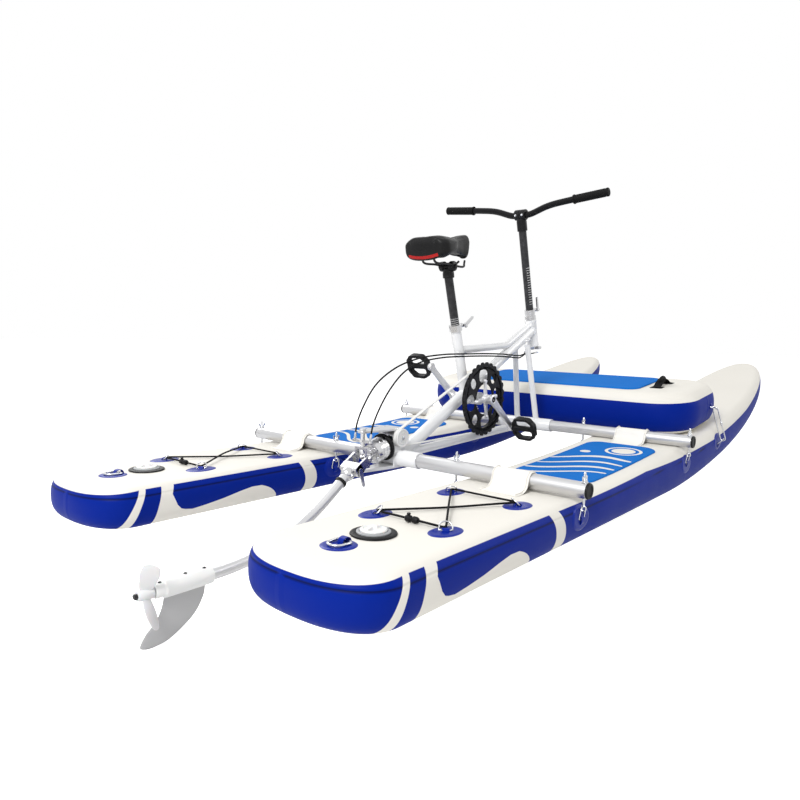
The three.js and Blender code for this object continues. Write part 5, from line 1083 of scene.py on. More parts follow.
def cross_platform():
    """Inflated slab, its rail carried round the plan as the pontoons' is, and its foam pad."""
    px, pw = slab_outline(PLATFORM["length"], PLATFORM["depth"], PLATFORM["corner"], 60)
    ax = np.concatenate([[px[1]], px, [px[-2]]])
    aw = np.concatenate([[-pw[1]], pw, [-pw[-2]]])
    normal = unit(np.stack([-(aw[2:] - aw[:-2]), ax[2:] - ax[:-2]], -1))
    lean = np.linspace(math.pi / 2, -math.pi / 2, 29)
    inset = PLATFORM["rail"] * (1 - np.maximum(np.cos(lean), 0) ** RAIL_POWER)
    bulge = np.sign(np.sin(lean)) * np.abs(np.sin(lean)) ** RAIL_POWER
    x = px[:, None] - normal[:, :1] * inset
    w = np.maximum(pw[:, None] - normal[:, 1:] * inset, 0.3)
    w[0], w[-1] = 0, 0
    z = np.broadcast_to(PLATFORM["thick"] * (0.5 + bulge / 2), x.shape)
    right = np.stack([w, x, z], -1)
    left = np.stack([-w, x, z], -1)[:, ::-1]
    across = np.linspace(1, -1, 12)[None, 1:-1, None]
    floor = right[:, -1:] * (1 + across) / 2 + left[:, :1] * (1 - across) / 2
    deck = left[:, -1:] * (1 + across) / 2 + right[:, :1] * (1 - across) / 2
    rows = np.concatenate([right, floor, left, deck], axis=1)
    h = PLATFORM["thick"] - rows[..., 2]
    edge = np.minimum(h - 31, rows[..., 2] - 16)
    cross_line = np.exp(-((rows[..., 0] - 20) / 4) ** 2) * (np.abs(rows[..., 1]) > 480) * (h > 4) * 0.8
    seam = np.exp(-((h - 7) / 1.6) ** 2) * 0.8 + cross_line
    big = np.full_like(edge, NOWHERE)
    part = grid(on_platform(rows), closed=True, edge=edge, stripes=big, swell=big, seam=seam)
    make("cross_platform", [part], "hull", ROOT, ["platform"], sharp=60, weld=0.35)

    u, v = pad_plan(720, 290, 45, 170, 64)
    inside = rounded_distance(u, v, 0, 0, 360, 145, 45)
    lines = np.exp(-((inside - 12) / 1.1) ** 2)
    pad = foam_slab(u, v, inside, 5, lambda a, b, off: on_platform(np.stack([b, a, 150.3 + off], -1)),
                    motif=np.full_like(u, -NOWHERE), groove=lines)
    obj = make("platform_foam", [pad], "foam", ROOT, ["platform_pad"], weld=0.02)


HANDLE_Y = -405.0


def platform_handle():
    """Webbing handle on two glued feet, with a padded roll in its middle."""
    s = np.linspace(0, 1, 41)
    x = (s - 0.5) * 130
    z = 150.9 + 22 * np.sin(s * math.pi) ** 2
    line = np.stack([x, np.full_like(x, HANDLE_Y), z], -1)
    normal = unit(np.stack([-np.gradient(z), np.zeros_like(x), np.gradient(x)], -1))
    wide = np.interp(np.abs(s - 0.5), [0, 0.14, 0.2, 0.5], [13, 13, 14, 14])[:, None] * Y
    rows = np.stack([line - wide, line + wide, line + wide + normal * 2.6, line - wide + normal * 2.6], 1)
    strap = capped(on_platform(rows))
    middle = slice(11, 30)
    roll_radius = 9.5 - 5 * np.abs(np.linspace(-1, 1, 19)) ** 6
    roll = sweep(on_platform(line[middle] + normal[middle] * 1.3), (roll_radius * 1.35, roll_radius * 0.8), 22,
                 across=Y)
    feet = []
    for way in (1, -1):
        uu, vv = pad_plan(44, 46, 8, 26, 18)
        inside = rounded_distance(uu, vv, 0, 0, 22, 23, 8)

        def place(a, b, off, way=way):
            return on_platform(np.stack([a + way * 56, b + HANDLE_Y, 150.2 + off * 0.35], -1))

        feet.append(foam_slab(uu, vv, inside, 2.2, place))
    make("handle_strap", [strap, *feet], "webbing", ROOT, ["platform_handle"], bevel=0.4)
    make("handle_roll", [roll], "rubber", ROOT, sharp=60)


def platform_clip(name, side):
    """Wire link from the platform's end ring to the pontoon's ring, with its sprung gate."""
    ring_z = 75.0
    ahead = CLIP_X - PLATFORM["rear"] - PLATFORM["depth"] / 2
    root = on_platform(at(ahead, side * (PLATFORM["length"] / 2 - 2), ring_z))
    high = root + at(0, side * 18, -9)
    keel = keel_z(CLIP_X)
    foot = at(CLIP_X, side * 179, keel + (deck_line(CLIP_X) - keel) * CLIP_LEVEL - RING_DROP)
    low = foot + at(0, side * 18, 18) + at(0, side * HULL_Y, 0)
    up = unit(high - low)
    across = np.cross(X, up)
    half_run = np.linalg.norm(high - low) / 2 + 4.1 + 0.9 - 8.5
    middle = (high + low) / 2
    line = [middle + up * way * (half_run + 8.5 * math.sin(t)) + across * way * 8.5 * math.cos(t)
            for way in (1, -1) for t in np.linspace(0, math.pi, 15)]
    link = sweep(np.array(line), 2.5, 14, across=X, closed=True)
    gate = tube(middle + across * 8.5 - up * 8, middle + across * 8.5 + up * 8, 7, 20, soft=1)
    knob = turned(middle + across * 8.5 - up * 3, middle + across * 8.5 + up * 3,
                  [(0, 0), (4.3, 0), (4.6, 3), (4.3, 6), (0, 6)], 22, 11, 0.03)
    ring = dee(root, X, unit(at(0, side, -0.5)), 26, 20.1, 3.2)
    tab = strap_loop(root - at(0, side * 0.4, 0), Z, X, Y * side, 14, 18, 4.5)
    make(f"wire_clip_{name}", [link, gate, knob], "steel", ROOT, [f"platform_clip_{name}"],
         sharp=50)
    make(f"platform_ring_{name}", [ring], "steel", ROOT, sharp=50)
    make(f"platform_ring_tab_{name}", [tab], "patch", ROOT)


cross_platform()
platform_handle()
for side_name, side_way in SIDES.items():
    platform_clip(side_name, side_way)

# ---------------------------------------------------------------- frame

HEAD = at(796, 0, 600)
HEAD_WAY = at(-math.sin(15.4 * DEG), 0, math.cos(15.4 * DEG))
SEAT_FOOT = at(370, 0, 342)
SEAT_WAY = at(-math.sin(16.7 * DEG), 0, math.cos(16.7 * DEG))
CRANK = at(417, 0, 324)


def on_head(reach):
    """Point on the steering axis, reach above the head tube's top."""
    return HEAD + HEAD_WAY * reach


def on_seat(reach):
    """Point on the seat post's axis, reach above the seat tube's top."""
    return SEAT_FOOT + SEAT_WAY * (233 + reach)


def weld_bead(foot, way, diameter, axis_point, axis_way, axis_diameter, size=5.5):
    """The bead where a tube that leaves foot along way meets another tube: on each line of the tube's
    skin, the point that lies on the other tube's skin."""
    way, axis_way = unit(way), unit(axis_way)
    helper = Y if abs(way @ Y) < 0.9 else X
    n1 = unit(np.cross(way, helper))
    n2 = np.cross(way, n1)
    t = np.linspace(0, 2 * math.pi, 40, endpoint=False)[:, None]
    q = foot - axis_point + (n1 * np.cos(t) + n2 * np.sin(t)) * diameter / 2
    q = q - (q @ axis_way)[:, None] * axis_way
    w = way - (way @ axis_way) * axis_way
    a, b = w @ w, q @ w
    c = (q * q).sum(1) - (axis_diameter / 2) ** 2
    reach = (-b + np.sqrt(np.maximum(b * b - a * c, 0))) / a
    line = foot + (n1 * np.cos(t) + n2 * np.sin(t)) * diameter / 2 + reach[:, None] * way
    return sweep(line, size / 2, 10, across=way, closed=True)


def coped(part, axis_point, axis_way, radius, way):
    """A tube's end cut to sit on another tube: points inside that tube's wall move out along way until
    they lie at radius from its axis."""
    spots, faces, marks = part
    way, axis_way = unit(way), unit(axis_way)
    q = spots - axis_point
    q = q - (q @ axis_way)[:, None] * axis_way
    w = way - (way @ axis_way) * axis_way
    a, b = w @ w, q @ w
    c = (q * q).sum(1) - radius**2
    reach = np.where(c < 0, (-b + np.sqrt(np.maximum(b * b - a * c, 0))) / a, 0)
    return spots + reach[:, None] * way, faces, marks


def main_frame():
    """Welded frame: the cross tubes that hold the bars, lower, down, head, seat and top tubes, crank shell
    and struts with their weld beads; then the drive cheeks."""
    bend = at(624, 0, 502)
    top_seat = on_seat(-82)
    down_foot = at(5, 0, 158)
    down_head = on_head(-40)
    top_head = on_head(-16)
    lower = (REAR + X * 14, FRONT - X * 14)
    parts = []
    for centre in (REAR, FRONT):
        profile = [(20.3, 0), (23.1, 0), (23.5, 0.5), (23.5, 209.5), (23.1, 210), (20.3, 210), (20.3, 0)]
        parts.append(turned(centre - Y * 105, centre + Y * 105, profile, 48))
    parts.append(tube(*lower, 28, 36))
    length = np.linalg.norm(down_head - down_foot)
    down = [(0, 0), (19.5, 0), *[(r, length) for r in (19.5, 16, 12, 8, 4, 0)]]
    parts.append(coped(turned(down_foot, down_head, down, 44), HEAD, HEAD_WAY, 18.5, down_foot - down_head))
    parts.append(turned(on_head(-103), on_head(0),
                        [(16.5, 0), (20.5, 0), (21.6, 1), (21.6, 9), (20.5, 11), (20.5, 92), (21.6, 94),
                         (21.6, 102), (20.5, 103), (16.5, 103), (16.5, 0)], 48))
    parts.append(turned(on_seat(-233), on_seat(0),
                        [(0, 0), (16.5, 0), (16.5, 232.6), (16.1, 233), (14.2, 233), (14.2, 28), (0, 28)], 40))
    top_line = loop_path(np.array([top_seat, top_seat + (bend - top_seat) * 0.8, bend + at(3, 0, 2.5),
                                   bend + (top_head - bend) * 0.3, top_head]), 8)
    top_tube = coped(sweep(top_line, 12.5, 32, across=Y), SEAT_FOOT, SEAT_WAY, 16.2, bend - top_seat)
    parts.append(coped(top_tube, HEAD, HEAD_WAY, 18.5, bend - top_head))
    shell = [(9.2, 0), (20.4, 0), (21, 0.6), (21, 67.4), (20.4, 68), (9.2, 68), (9.2, 0)]
    parts.append(turned(CRANK - Y * 34, CRANK + Y * 34, shell, 48))
    for way in (1, -1):
        foot = at(802, way * 41, FRONT[2])
        top = at(733, way * 26, 505)
        parts.append(tube(foot, top, 21, 32))
        parts.append(weld_bead(foot, top - foot, 21, FRONT, Y, 47))
        parts.append(weld_bead(top, foot - top, 21, down_foot, down_head - down_foot, 39))
    parts += [
        weld_bead(lower[0], X, 28, REAR, Y, 47),
        weld_bead(lower[1], -X, 28, FRONT, Y, 47),
        weld_bead(down_foot, down_head - down_foot, 39, REAR, Y, 47),
        weld_bead(down_head, down_foot - down_head, 39, HEAD, HEAD_WAY, 41),
        weld_bead(top_head, bend - top_head, 25, HEAD, HEAD_WAY, 41),
        weld_bead(top_seat, bend - top_seat, 25, SEAT_FOOT, SEAT_WAY, 36),
        weld_bead(on_seat(-233), SEAT_WAY, 33, CRANK, Y, 42),
    ]
    make("welded_frame", parts, "paint", ROOT, ["main_frame"], sharp=40, bevel=0.0)

    plates = []
    z0 = 151.0
    cheek = [(-26, z0), (26, z0), (26, 176.1), (9, 236), (0.5, 257.7), (-25, 257.7), (-26, 176.1)]
    for way in (1, -1):
        plates.append(plate(cheek, 27, 32, lambda q: np.stack([q[:, 0], way * q[:, 2], q[:, 1]], -1)))
        for x, z in ((-15, 250), (15, 190), (-18, 190)):
            spot = at(x, way * 32, z)
            plates.append(turned(spot, spot + Y * way * 4, [(0, 0), (4.6, 0), (4.6, 2), (3.4, 3.2), (0, 3.2)],
                                 6))
    tail = arc(at(-128, 0, 0), -X * 12, -Y * 12, -math.pi / 2, math.pi / 2, 13)[:, :2]
    foot_outline = [(26, -30), (26, 30), (-26, 30), *[tuple(q) for q in tail], (-26, -30)]
    plates.append(plate(foot_outline, 147, 155, lambda q: q))
    make("drive_cheeks", plates, "paint", ROOT, bevel=0.8)


def seat_parts():
    """Seat post with its height marks, and the clamp that holds the saddle's two wire rails."""
    keep("seat_collar", "alloy", 0.5)
    keep("seat_lever", "alloy", 1.0)
    post = [turned(on_seat(-30), on_seat(176), [(0, 0), (13.8, 0), (13.8, 205.4), (13.2, 206), (0, 206)], 40)]
    make("seat_post_tube", post, "black_alloy", "seat", ["seat_post"])
    marks = [turned(on_seat(5 + 6.5 * k), on_seat(6 + 6.5 * k),
                    [(13.81, 0), (13.86, 0.2), (13.86, 0.9), (13.81, 1.1)], 40) for k in range(4)]
    make("post_height_marks", marks, "mark", "seat")

    top = on_seat(176.3)
    centre = at(top[0], 0, top[2] + 16)
    head = [
        turned(centre - Y * 28, centre + Y * 28,
               [(0, 0), (10, 0), (15, 2), (16, 5), (16, 16), (12, 19), (12, 37), (16, 40), (16, 51), (15, 54),
                (10, 56), (0, 56)], 36),
        turned(on_seat(156), centre, [(14.1, 0), (17.6, 0), (18.3, 1), (18.3, 14), (15, 30), (0, 30)], 36),
        turned(centre - Y * 34, centre + Y * 34, [(0, 0), (5.6, 0), (6.4, 1), (6.4, 6), (4, 6.5), (4, 61.5),
                                                  (6.4, 62), (6.4, 67), (5.6, 68), (0, 68)], 6),
    ]
    rails = []
    for way in (1, -1):
        y, z = way * 22, centre[2] + 3.5
        rear = centre[0] - 95
        line = np.array([
            (rear - 20, y, z + 20 - 20 * math.sin(8 * DEG)), (rear - 10, y, z + 10), (rear, y, z),
            (rear + 60, y, z),
            (rear + 150, y, z), (rear + 160, y * 0.75, z + 10), (rear + 170, y * 0.5, z + 20)])
        rails.append(sweep(loop_path(line, 8), 3.5, 14))
    make("rail_clamp", head, "black_alloy", "seat", ["saddle_mount"], bevel=0.4)
    make("saddle_rails", rails, "black_alloy", "seat", sharp=60)


SADDLE_PLACE = np.array([0, 0.04, 0.0875, 0.14, 0.301, 0.4625, 0.613, 0.774, 0.833, 0.935, 1])
SADDLE_WIDTH = np.array([0.58, 0.84, 0.944, 1, 0.93, 0.68, 0.45, 0.31, 0.288, 0.25, 0.14])
SADDLE_CROWN = np.array([0.8, 1.0, 1.06, 1.08, 0.92, 0.76, 0.82, 1.04, 1.12, 1.14, 0.8])
SADDLE_DROP = np.array([0.75, 0.8, 0.85, 0.895, 0.86, 0.8, 0.86, 1, 0.985, 0.96, 0.7])
SADDLE_LENGTH, SADDLE_BEHIND, SADDLE_HALF, SADDLE_TALL = 240, 140, 82, 58
SKIRT = ([0, 0.05, 0.14, 0.3, 0.5, 0.7, 0.85, 0.95, 1], [15, 18, 15, 6, 0, 4, 11, 16, 13])


def smooth_table(shares, places, values):
    """A cubic through a table's rows, in one dimension."""
    points = np.stack([places, values, np.zeros_like(values)], -1)
    line = loop_path(points, 12)
    return np.interp(shares, line[:, 0], line[:, 1])


def saddle():
    """Saddle: a crowned, waisted form. Round each section the upper half is a soft crown with a
    centre channel, and the lower half drops to the shell's edge, which a skirt lowers round the
    outside, so that the underside is hollow between the rails' ends."""
    s = np.concatenate([[0.0], np.linspace(0, math.pi, 112), [math.pi]])
    place = (1 - np.cos(s)) / 2
    wide = smooth_table(place, SADDLE_PLACE, SADDLE_WIDTH) * SADDLE_HALF
    crown = smooth_table(place, SADDLE_PLACE, SADDLE_CROWN) * SADDLE_TALL * 0.42
    drop = smooth_table(place, SADDLE_PLACE, SADDLE_DROP) * SADDLE_TALL * 0.58
    t = np.linspace(0, 2 * math.pi, 96, endpoint=False)[None]
    c, n = np.cos(t), np.sin(t)
    end = np.minimum(place, 1 - place)[:, None]
    ease = np.clip(end / 0.03, 0, 1) ** 0.5
    ease[0], ease[-1] = 0, 0
    y = wide[:, None] * np.sign(c) * np.abs(c) ** 0.8 * (0.35 + 0.65 * ease)
    tall = np.where(n > 0, crown[:, None] * np.abs(n), -drop[:, None] * np.abs(n) ** 0.5)
    channel = np.exp(-(y / 9.0) ** 2) * np.clip(np.sin(place * math.pi), 0, 1)[:, None] * (n > 0)
    wings = 2.2 * np.exp(-((np.abs(y) - wide[:, None] * 0.55) / 16) ** 2) * (n > 0) * (place[:, None] < 0.5)
    closed_end = np.clip(np.maximum((0.09 - place) / 0.04, (place - 0.89) / 0.04), 0, 1)[:, None]
    rim = np.clip((np.abs(c) - 0.3) / 0.35, 0, 1)
    rim = rim * rim * (3 - 2 * rim)
    under = np.where(n < 0, np.abs(n) ** 0.5, 0)
    skirt = np.interp(place, *SKIRT)[:, None] * np.maximum(rim, closed_end) * under
    x = np.broadcast_to(SADDLE_LENGTH * place[:, None] - SADDLE_BEHIND, y.shape)
    z = (tall - skirt) * (0.25 + 0.75 * ease) - 4.2 * channel + wings
    x = x + 0.28 * np.clip((place - 0.84) / 0.16, 0, 1)[:, None] * np.minimum(z, 0)
    top = on_seat(176)
    lean = 8 * DEG
    px = x * math.cos(lean) - z * math.sin(lean) + top[0]
    pz = x * math.sin(lean) + z * math.cos(lean) + top[2] + 55.8 + 29
    y = y * np.where(ease > 0, 1, 0)
    rows = np.stack([px, y, pz], -1)
    red = np.minimum(np.minimum(4.6 - np.abs(z + 36 - 0.0022 * y**2), (0.075 - place[:, None]) * 300),
                     56 - np.abs(y))
    stitch = np.exp(-((np.abs(y) - wide[:, None] * 0.8) / 1.6) ** 2) * (n > 0)
    stitch = stitch + 0.7 * np.exp(-((tall + 4) / 1.5) ** 2)
    part = grid(rows, closed=True, motif=red, groove=stitch)
    obj = make("saddle_cushion", [part], "saddle", "seat", ["saddle"], sharp=70, weld=0.05)


main_frame()
seat_parts()
saddle()

# ---------------------------------------------------------------- steering column


def steering():
    """Stem with its height marks, bar clamp, riser bar and ribbed grips."""
    keep("steerer", "alloy", 0.5)
    keep("height_collar", "alloy", 0.5)
    keep("height_lever", "alloy", 1.0)
    stem = [turned(on_head(-20), on_head(366), [(0, 0), (14, 0), (14, 385.4), (13.5, 386), (0, 386)], 40)]
    make("stem_pole", stem, "black_alloy", "stem_and_bar", ["stem_tube"])
    marks = [turned(on_head(60 + 9 * k), on_head(62 + 9 * k),
                    [(14.002, 0), (14.006, 0.2), (14.006, 1.2), (14.002, 1.4)], 40) for k in range(16)]
    front_only = []
    for spots, faces, extra in marks:
        front_only.append((spots, [f for f in faces if spots[f][:, 1].mean() < -8], extra))
    make("stem_height_marks", front_only, "mark", "stem_and_bar", recalc=False)

    centre = on_head(387)
    clamp = [
        turned(centre - Y * 22, centre + Y * 22,
               [(11.4, 0), (17, 0), (19, 2), (19, 19.6), (17.6, 20.6), (17.6, 23.4), (19, 24.4), (19, 42),
                (17, 44), (11.4, 44), (11.4, 0)], 40),
        turned(on_head(330), centre, [(14.3, 0), (17.4, 0), (18.3, 1), (18.3, 34), (16, 46), (0, 50)], 40),
    ]
    head = [(0, 0), (4.4, 0), (4.4, 3.6), (3.2, 5), (1.8, 5), (1.6, 3), (0, 3)]
    bolts = [turned(centre + at(-16, y, -3), centre + at(-24, y, -3), head, 20) for y in (-13, 13)]
    make("bar_clamp_body", clamp, "black_alloy", "stem_and_bar", ["bar_clamp"], bevel=0.4)
    make("bar_clamp_bolts", bolts, "steel", "stem_and_bar")

    def spot(y, rise):
        return centre + at(0, y, rise)

    def wing(way):
        bend, end = spot(way * 120, 26), spot(way * 325, 45)
        start = bend + (spot(way * 38, 0) - bend) * 0.22
        return [start, bend + (end - bend) * 0.22, end]

    path = [*wing(-1)[::-1], spot(-38, 0), spot(0, 0), spot(38, 0), *wing(1)]
    line = loop_path(np.array(path), 14, centripetal=False)
    bar = sweep(line, 11.1, 28, across=X)
    make("riser_bar", [bar], "black_alloy", "stem_and_bar", ["handlebar"], sharp=50)
    for name, way in SIDES.items():
        bend, end = spot(way * 120, 26), spot(way * 325, 45)
        along = unit(end - bend)
        start = end - along * 122
        profile = [(11.3, 0), (15.4, 0), (16.2, 1.6), (16.2, 4.2), (14.2, 5.4)]
        for k in range(16):
            r = 7.0 + k * 6.6
            profile += [(13.6, r), (14.4, r + 1.2), (14.4, r + 4.2), (13.6, r + 5.4)]
        profile += [(13.8, 116), (14.6, 118), (14.6, 122.5), (12.9, 124.2), (0, 124.4)]
        make(f"foam_grip_{name}", [turned(start, end, profile, 36)], "rubber", "stem_and_bar", [f"grip_{name}"],
             sharp=50)


CABLES = {
    "starboard": [(811, -29, 478), (780, -18, 472), (742, -11, 470), (700, -17, 466), (655, -27, 466),
                  (560, -30, 472), (440, -31, 475), (320, -29, 475), (200, -28, 474), (85, -22, 463),
                  (0, -6, 436), (-62, 12, 390), (-100, 24, 330), (-121, 29, 280), (-128, 29, 239.6)],
    "port": [(811, 29, 478), (782, 12, 468), (742, 0, 461), (700, -14, 457), (655, -27, 458),
             (560, -30, 464), (440, -30, 467), (320, -28, 467), (200, -24, 464), (85, -25, 450),
             (10, -28, 423), (-50, -30, 378), (-94, -30, 325), (-119, -29, 278), (-128, -29, 239.6)],
}


CABLE_RADIUS = 2.5


def cable(name):
    """Steering cable: its housing along the whole route, a ferrule and a bare end at each end."""
    line = loop_path(np.array(CABLES[name], float), 8)
    housing = sweep(line, CABLE_RADIUS, 12, across=Y + Z * 0.01)
    make(f"cable_housing_{name}", [housing], "rubber", ROOT, [f"cable_{name}"], sharp=80)
    ends = []
    for a, b in ((line[0], line[3]), (line[-1], line[-4])):
        way = unit(b - a)
        ends.append(turned(a - way * 1, a + way * 18,
                           [(0, 0), (3.3, 0), (3.5, 0.6), (3.5, 13), (2.9, 15), (2.6, 19)], 18))
    make(f"cable_ferrules_{name}", ends, "steel", ROOT)


steering()
for side_name in SIDES:
    cable(side_name)

# ---------------------------------------------------------------- cranks, pedals and belt

CRANK_ANGLE = 38.2 * DEG
CRANK_LENGTH = 170
CRANK_PLANE = 78
PEDAL_PLANE = 129
KNOBS = 28
KNOB_STEPS = 12


def crank_way(angle):
    """Direction of a crank arm that is turned down by angle from dead ahead."""
    return at(math.cos(angle), 0, -math.sin(angle))


def crank_arm(angle, way):
    """Forged arm: an oval section that narrows from the hub to the pedal eye."""
    along = crank_way(angle)
    up = np.cross(Y, along)
    s = np.linspace(0, 1, 30)
    path = CRANK + Y * way * CRANK_PLANE + np.outer(s * CRANK_LENGTH, along)
    half_high = np.interp(s, [0, 0.1, 0.25, 0.85, 0.95, 1], [16, 14.2, 12.6, 10.4, 12, 12.6])
    half_thick = np.interp(s, [0, 0.2, 0.9, 1], [6.5, 6, 5.4, 6.2])
    t = np.linspace(0, 2 * math.pi, 28, endpoint=False)
    section_high = np.sign(np.sin(t)) * np.abs(np.sin(t)) ** 0.7
    section_thick = np.sign(np.cos(t)) * np.abs(np.cos(t)) ** 0.5
    rings = (path[:, None] + up * half_high[:, None, None] * section_high[None, :, None]
             + Y * half_thick[:, None, None] * section_thick[None, :, None])
    arm = capped(rings, (path[0], path[-1]))
    hub = CRANK + Y * way * 71
    eye = CRANK + Y * way * 71.5 + along * CRANK_LENGTH
    parts = [arm]
    parts.append(turned(hub, hub + Y * way * 14.5, [(0, 0), (16.6, 0), (17, 0.8), (17, 12), (15, 14),
                                                    (11, 14.5), (10.4, 12.5), (0, 12.5)], 44))
    parts.append(turned(eye, eye + Y * way * 13, [(0, 0), (12.6, 0), (13, 0.6), (13, 12.2), (12, 13), (0, 13)],
                        40))
    return parts


def guard_ring():
    """Toothed guard ring: an outer band whose edge rises into lugs, an inner band, eight webs between
    round windows, and the belt's track on the inner face. A web's two edges follow the windows:
    half width = tall * sqrt(1 - ((r - middle) / long) ** 2) at radius r."""
    face, back = -45.0, -50.0
    turns = np.linspace(0, 2 * math.pi, KNOBS * KNOB_STEPS + 1)
    share = (turns / (2 * math.pi) * KNOBS) % 1
    tip = 118 + 6 * np.interp(share, [0, 0.18, 0.55, 0.73, 1], [0, 1, 1, 0, 0])
    ahead = np.array([crank_way(CRANK_ANGLE + t) for t in turns])

    def band(inner, outer, near, far):
        rows = [CRANK + ahead * np.broadcast_to(r, len(turns))[:, None] + Y * y
                for r, y in ((outer, near), (outer, far), (inner, far), (inner, near))]
        return grid(np.stack(rows, 1), closed=True)

    parts = [band(108.5, tip, face, back), band(51.5, 57.5, face, back), band(99, 108, -32.0, face - 0.5)]
    r = np.linspace(56.5, 110, 40)
    windows = ((82.5, 26.5, 27.5), (86.0, 19.0, 16.5))
    half_angles = [np.arcsin(np.clip(tall * np.sqrt(np.clip(1 - ((r - middle) / long) ** 2, 0, 1)) / r, 0, 1))
                   for middle, long, tall in windows]
    for k in range(8):
        start = CRANK_ANGLE + (k + 1) * math.pi / 4
        low = start + half_angles[k % 2]
        high = start + math.pi / 4 - half_angles[(k + 1) % 2]
        edges = [np.array([crank_way(t) * q for t, q in zip(side, r)]) for side in (low, high)]
        places = ((0, face), (1, face), (1, back + 0.8), (0, back + 0.8))
        rows = np.stack([CRANK + edges[i] + Y * y for i, y in places], 1)
        parts.append(capped(rows))
    make("toothed_ring", parts, "plastic", "cranks", ["chainring"], bevel=0.6, sharp=40)


def cranks():
    """Both arms, the spindle, and the four-armed spider that carries the toothed ring."""
    right = crank_arm(CRANK_ANGLE, STARBOARD)
    left = crank_arm(CRANK_ANGLE + math.pi, PORT)
    outer = -50.3
    right.append(turned(CRANK + Y * outer, CRANK - Y * 78,
                        [(9, 0), (16.6, 0), (17, 0.5), (15.5, 10), (15.5, 27.7), (9, 27.7)], 40))
    for k in range(4):
        angle = CRANK_ANGLE + (k + 0.5) / 4 * 2 * math.pi
        along = crank_way(angle)
        up = np.cross(Y, along)
        s = np.linspace(0, 1, 16)
        wide = np.interp(s, [0, 0.2, 0.7, 0.85, 1], [13, 8.6, 5.6, 6.4, 6.5])
        path = CRANK + Y * (outer - 3) + np.outer(4 + s * 56, along)
        rings = np.stack([path + Y * 3 + up * wide[:, None], path + Y * 3 - up * wide[:, None],
                          path - Y * 3 - up * wide[:, None] * 0.8, path - Y * 3 + up * wide[:, None] * 0.8], 1)
        right.append(capped(rings, (path[0], path[-1])))
        tip = CRANK + along * 60 + Y * outer
        right.append(turned(tip, tip - Y * 10,
                            [(0, 0), (6.5, 0), (6.5, 6), (5.2, 6.6), (5.2, 8.6), (3, 9.4), (0, 9)], 24))
    make("crank_arm_right", right, "satin", "cranks", ["crank_right"], bevel=0.5)
    left.append(tube(CRANK - Y * 77.7, CRANK + Y * 78, 17, 32, soft=0.6))
    left.append(turned(CRANK + Y * 34.3, CRANK + Y * 78,
                       [(8.5, 0), (16, 0), (17, 1), (17, 6), (15, 9), (15, 43.7), (8.5, 43.7)], 40))
    make("crank_arm_left", left, "satin", "cranks", ["crank_left"], bevel=0.5)
    caps = []
    for way in (1, -1):
        spot = CRANK + Y * way * 83.5
        caps.append(turned(spot, spot + Y * way * 4,
                           [(0, 0), (9.8, 0), (9.8, 1), (8.6, 2.2), (4, 2.4), (3.6, 0.8), (0, 0.8)], 30))
    make("crank_bolt_caps", caps, "plastic", "cranks")
    guard_ring()


PEDAL_PITCH = 65 * DEG


def pitched(part, centre):
    """A part turned about the cross axis through centre, its front edge going down."""
    spots, faces, marks = part
    q = spots - centre
    ahead = q[:, 0] * math.cos(PEDAL_PITCH) + q[:, 2] * math.sin(PEDAL_PITCH)
    up = q[:, 2] * math.cos(PEDAL_PITCH) - q[:, 0] * math.sin(PEDAL_PITCH)
    return np.stack([ahead, q[:, 1], up], -1) + centre, faces, marks


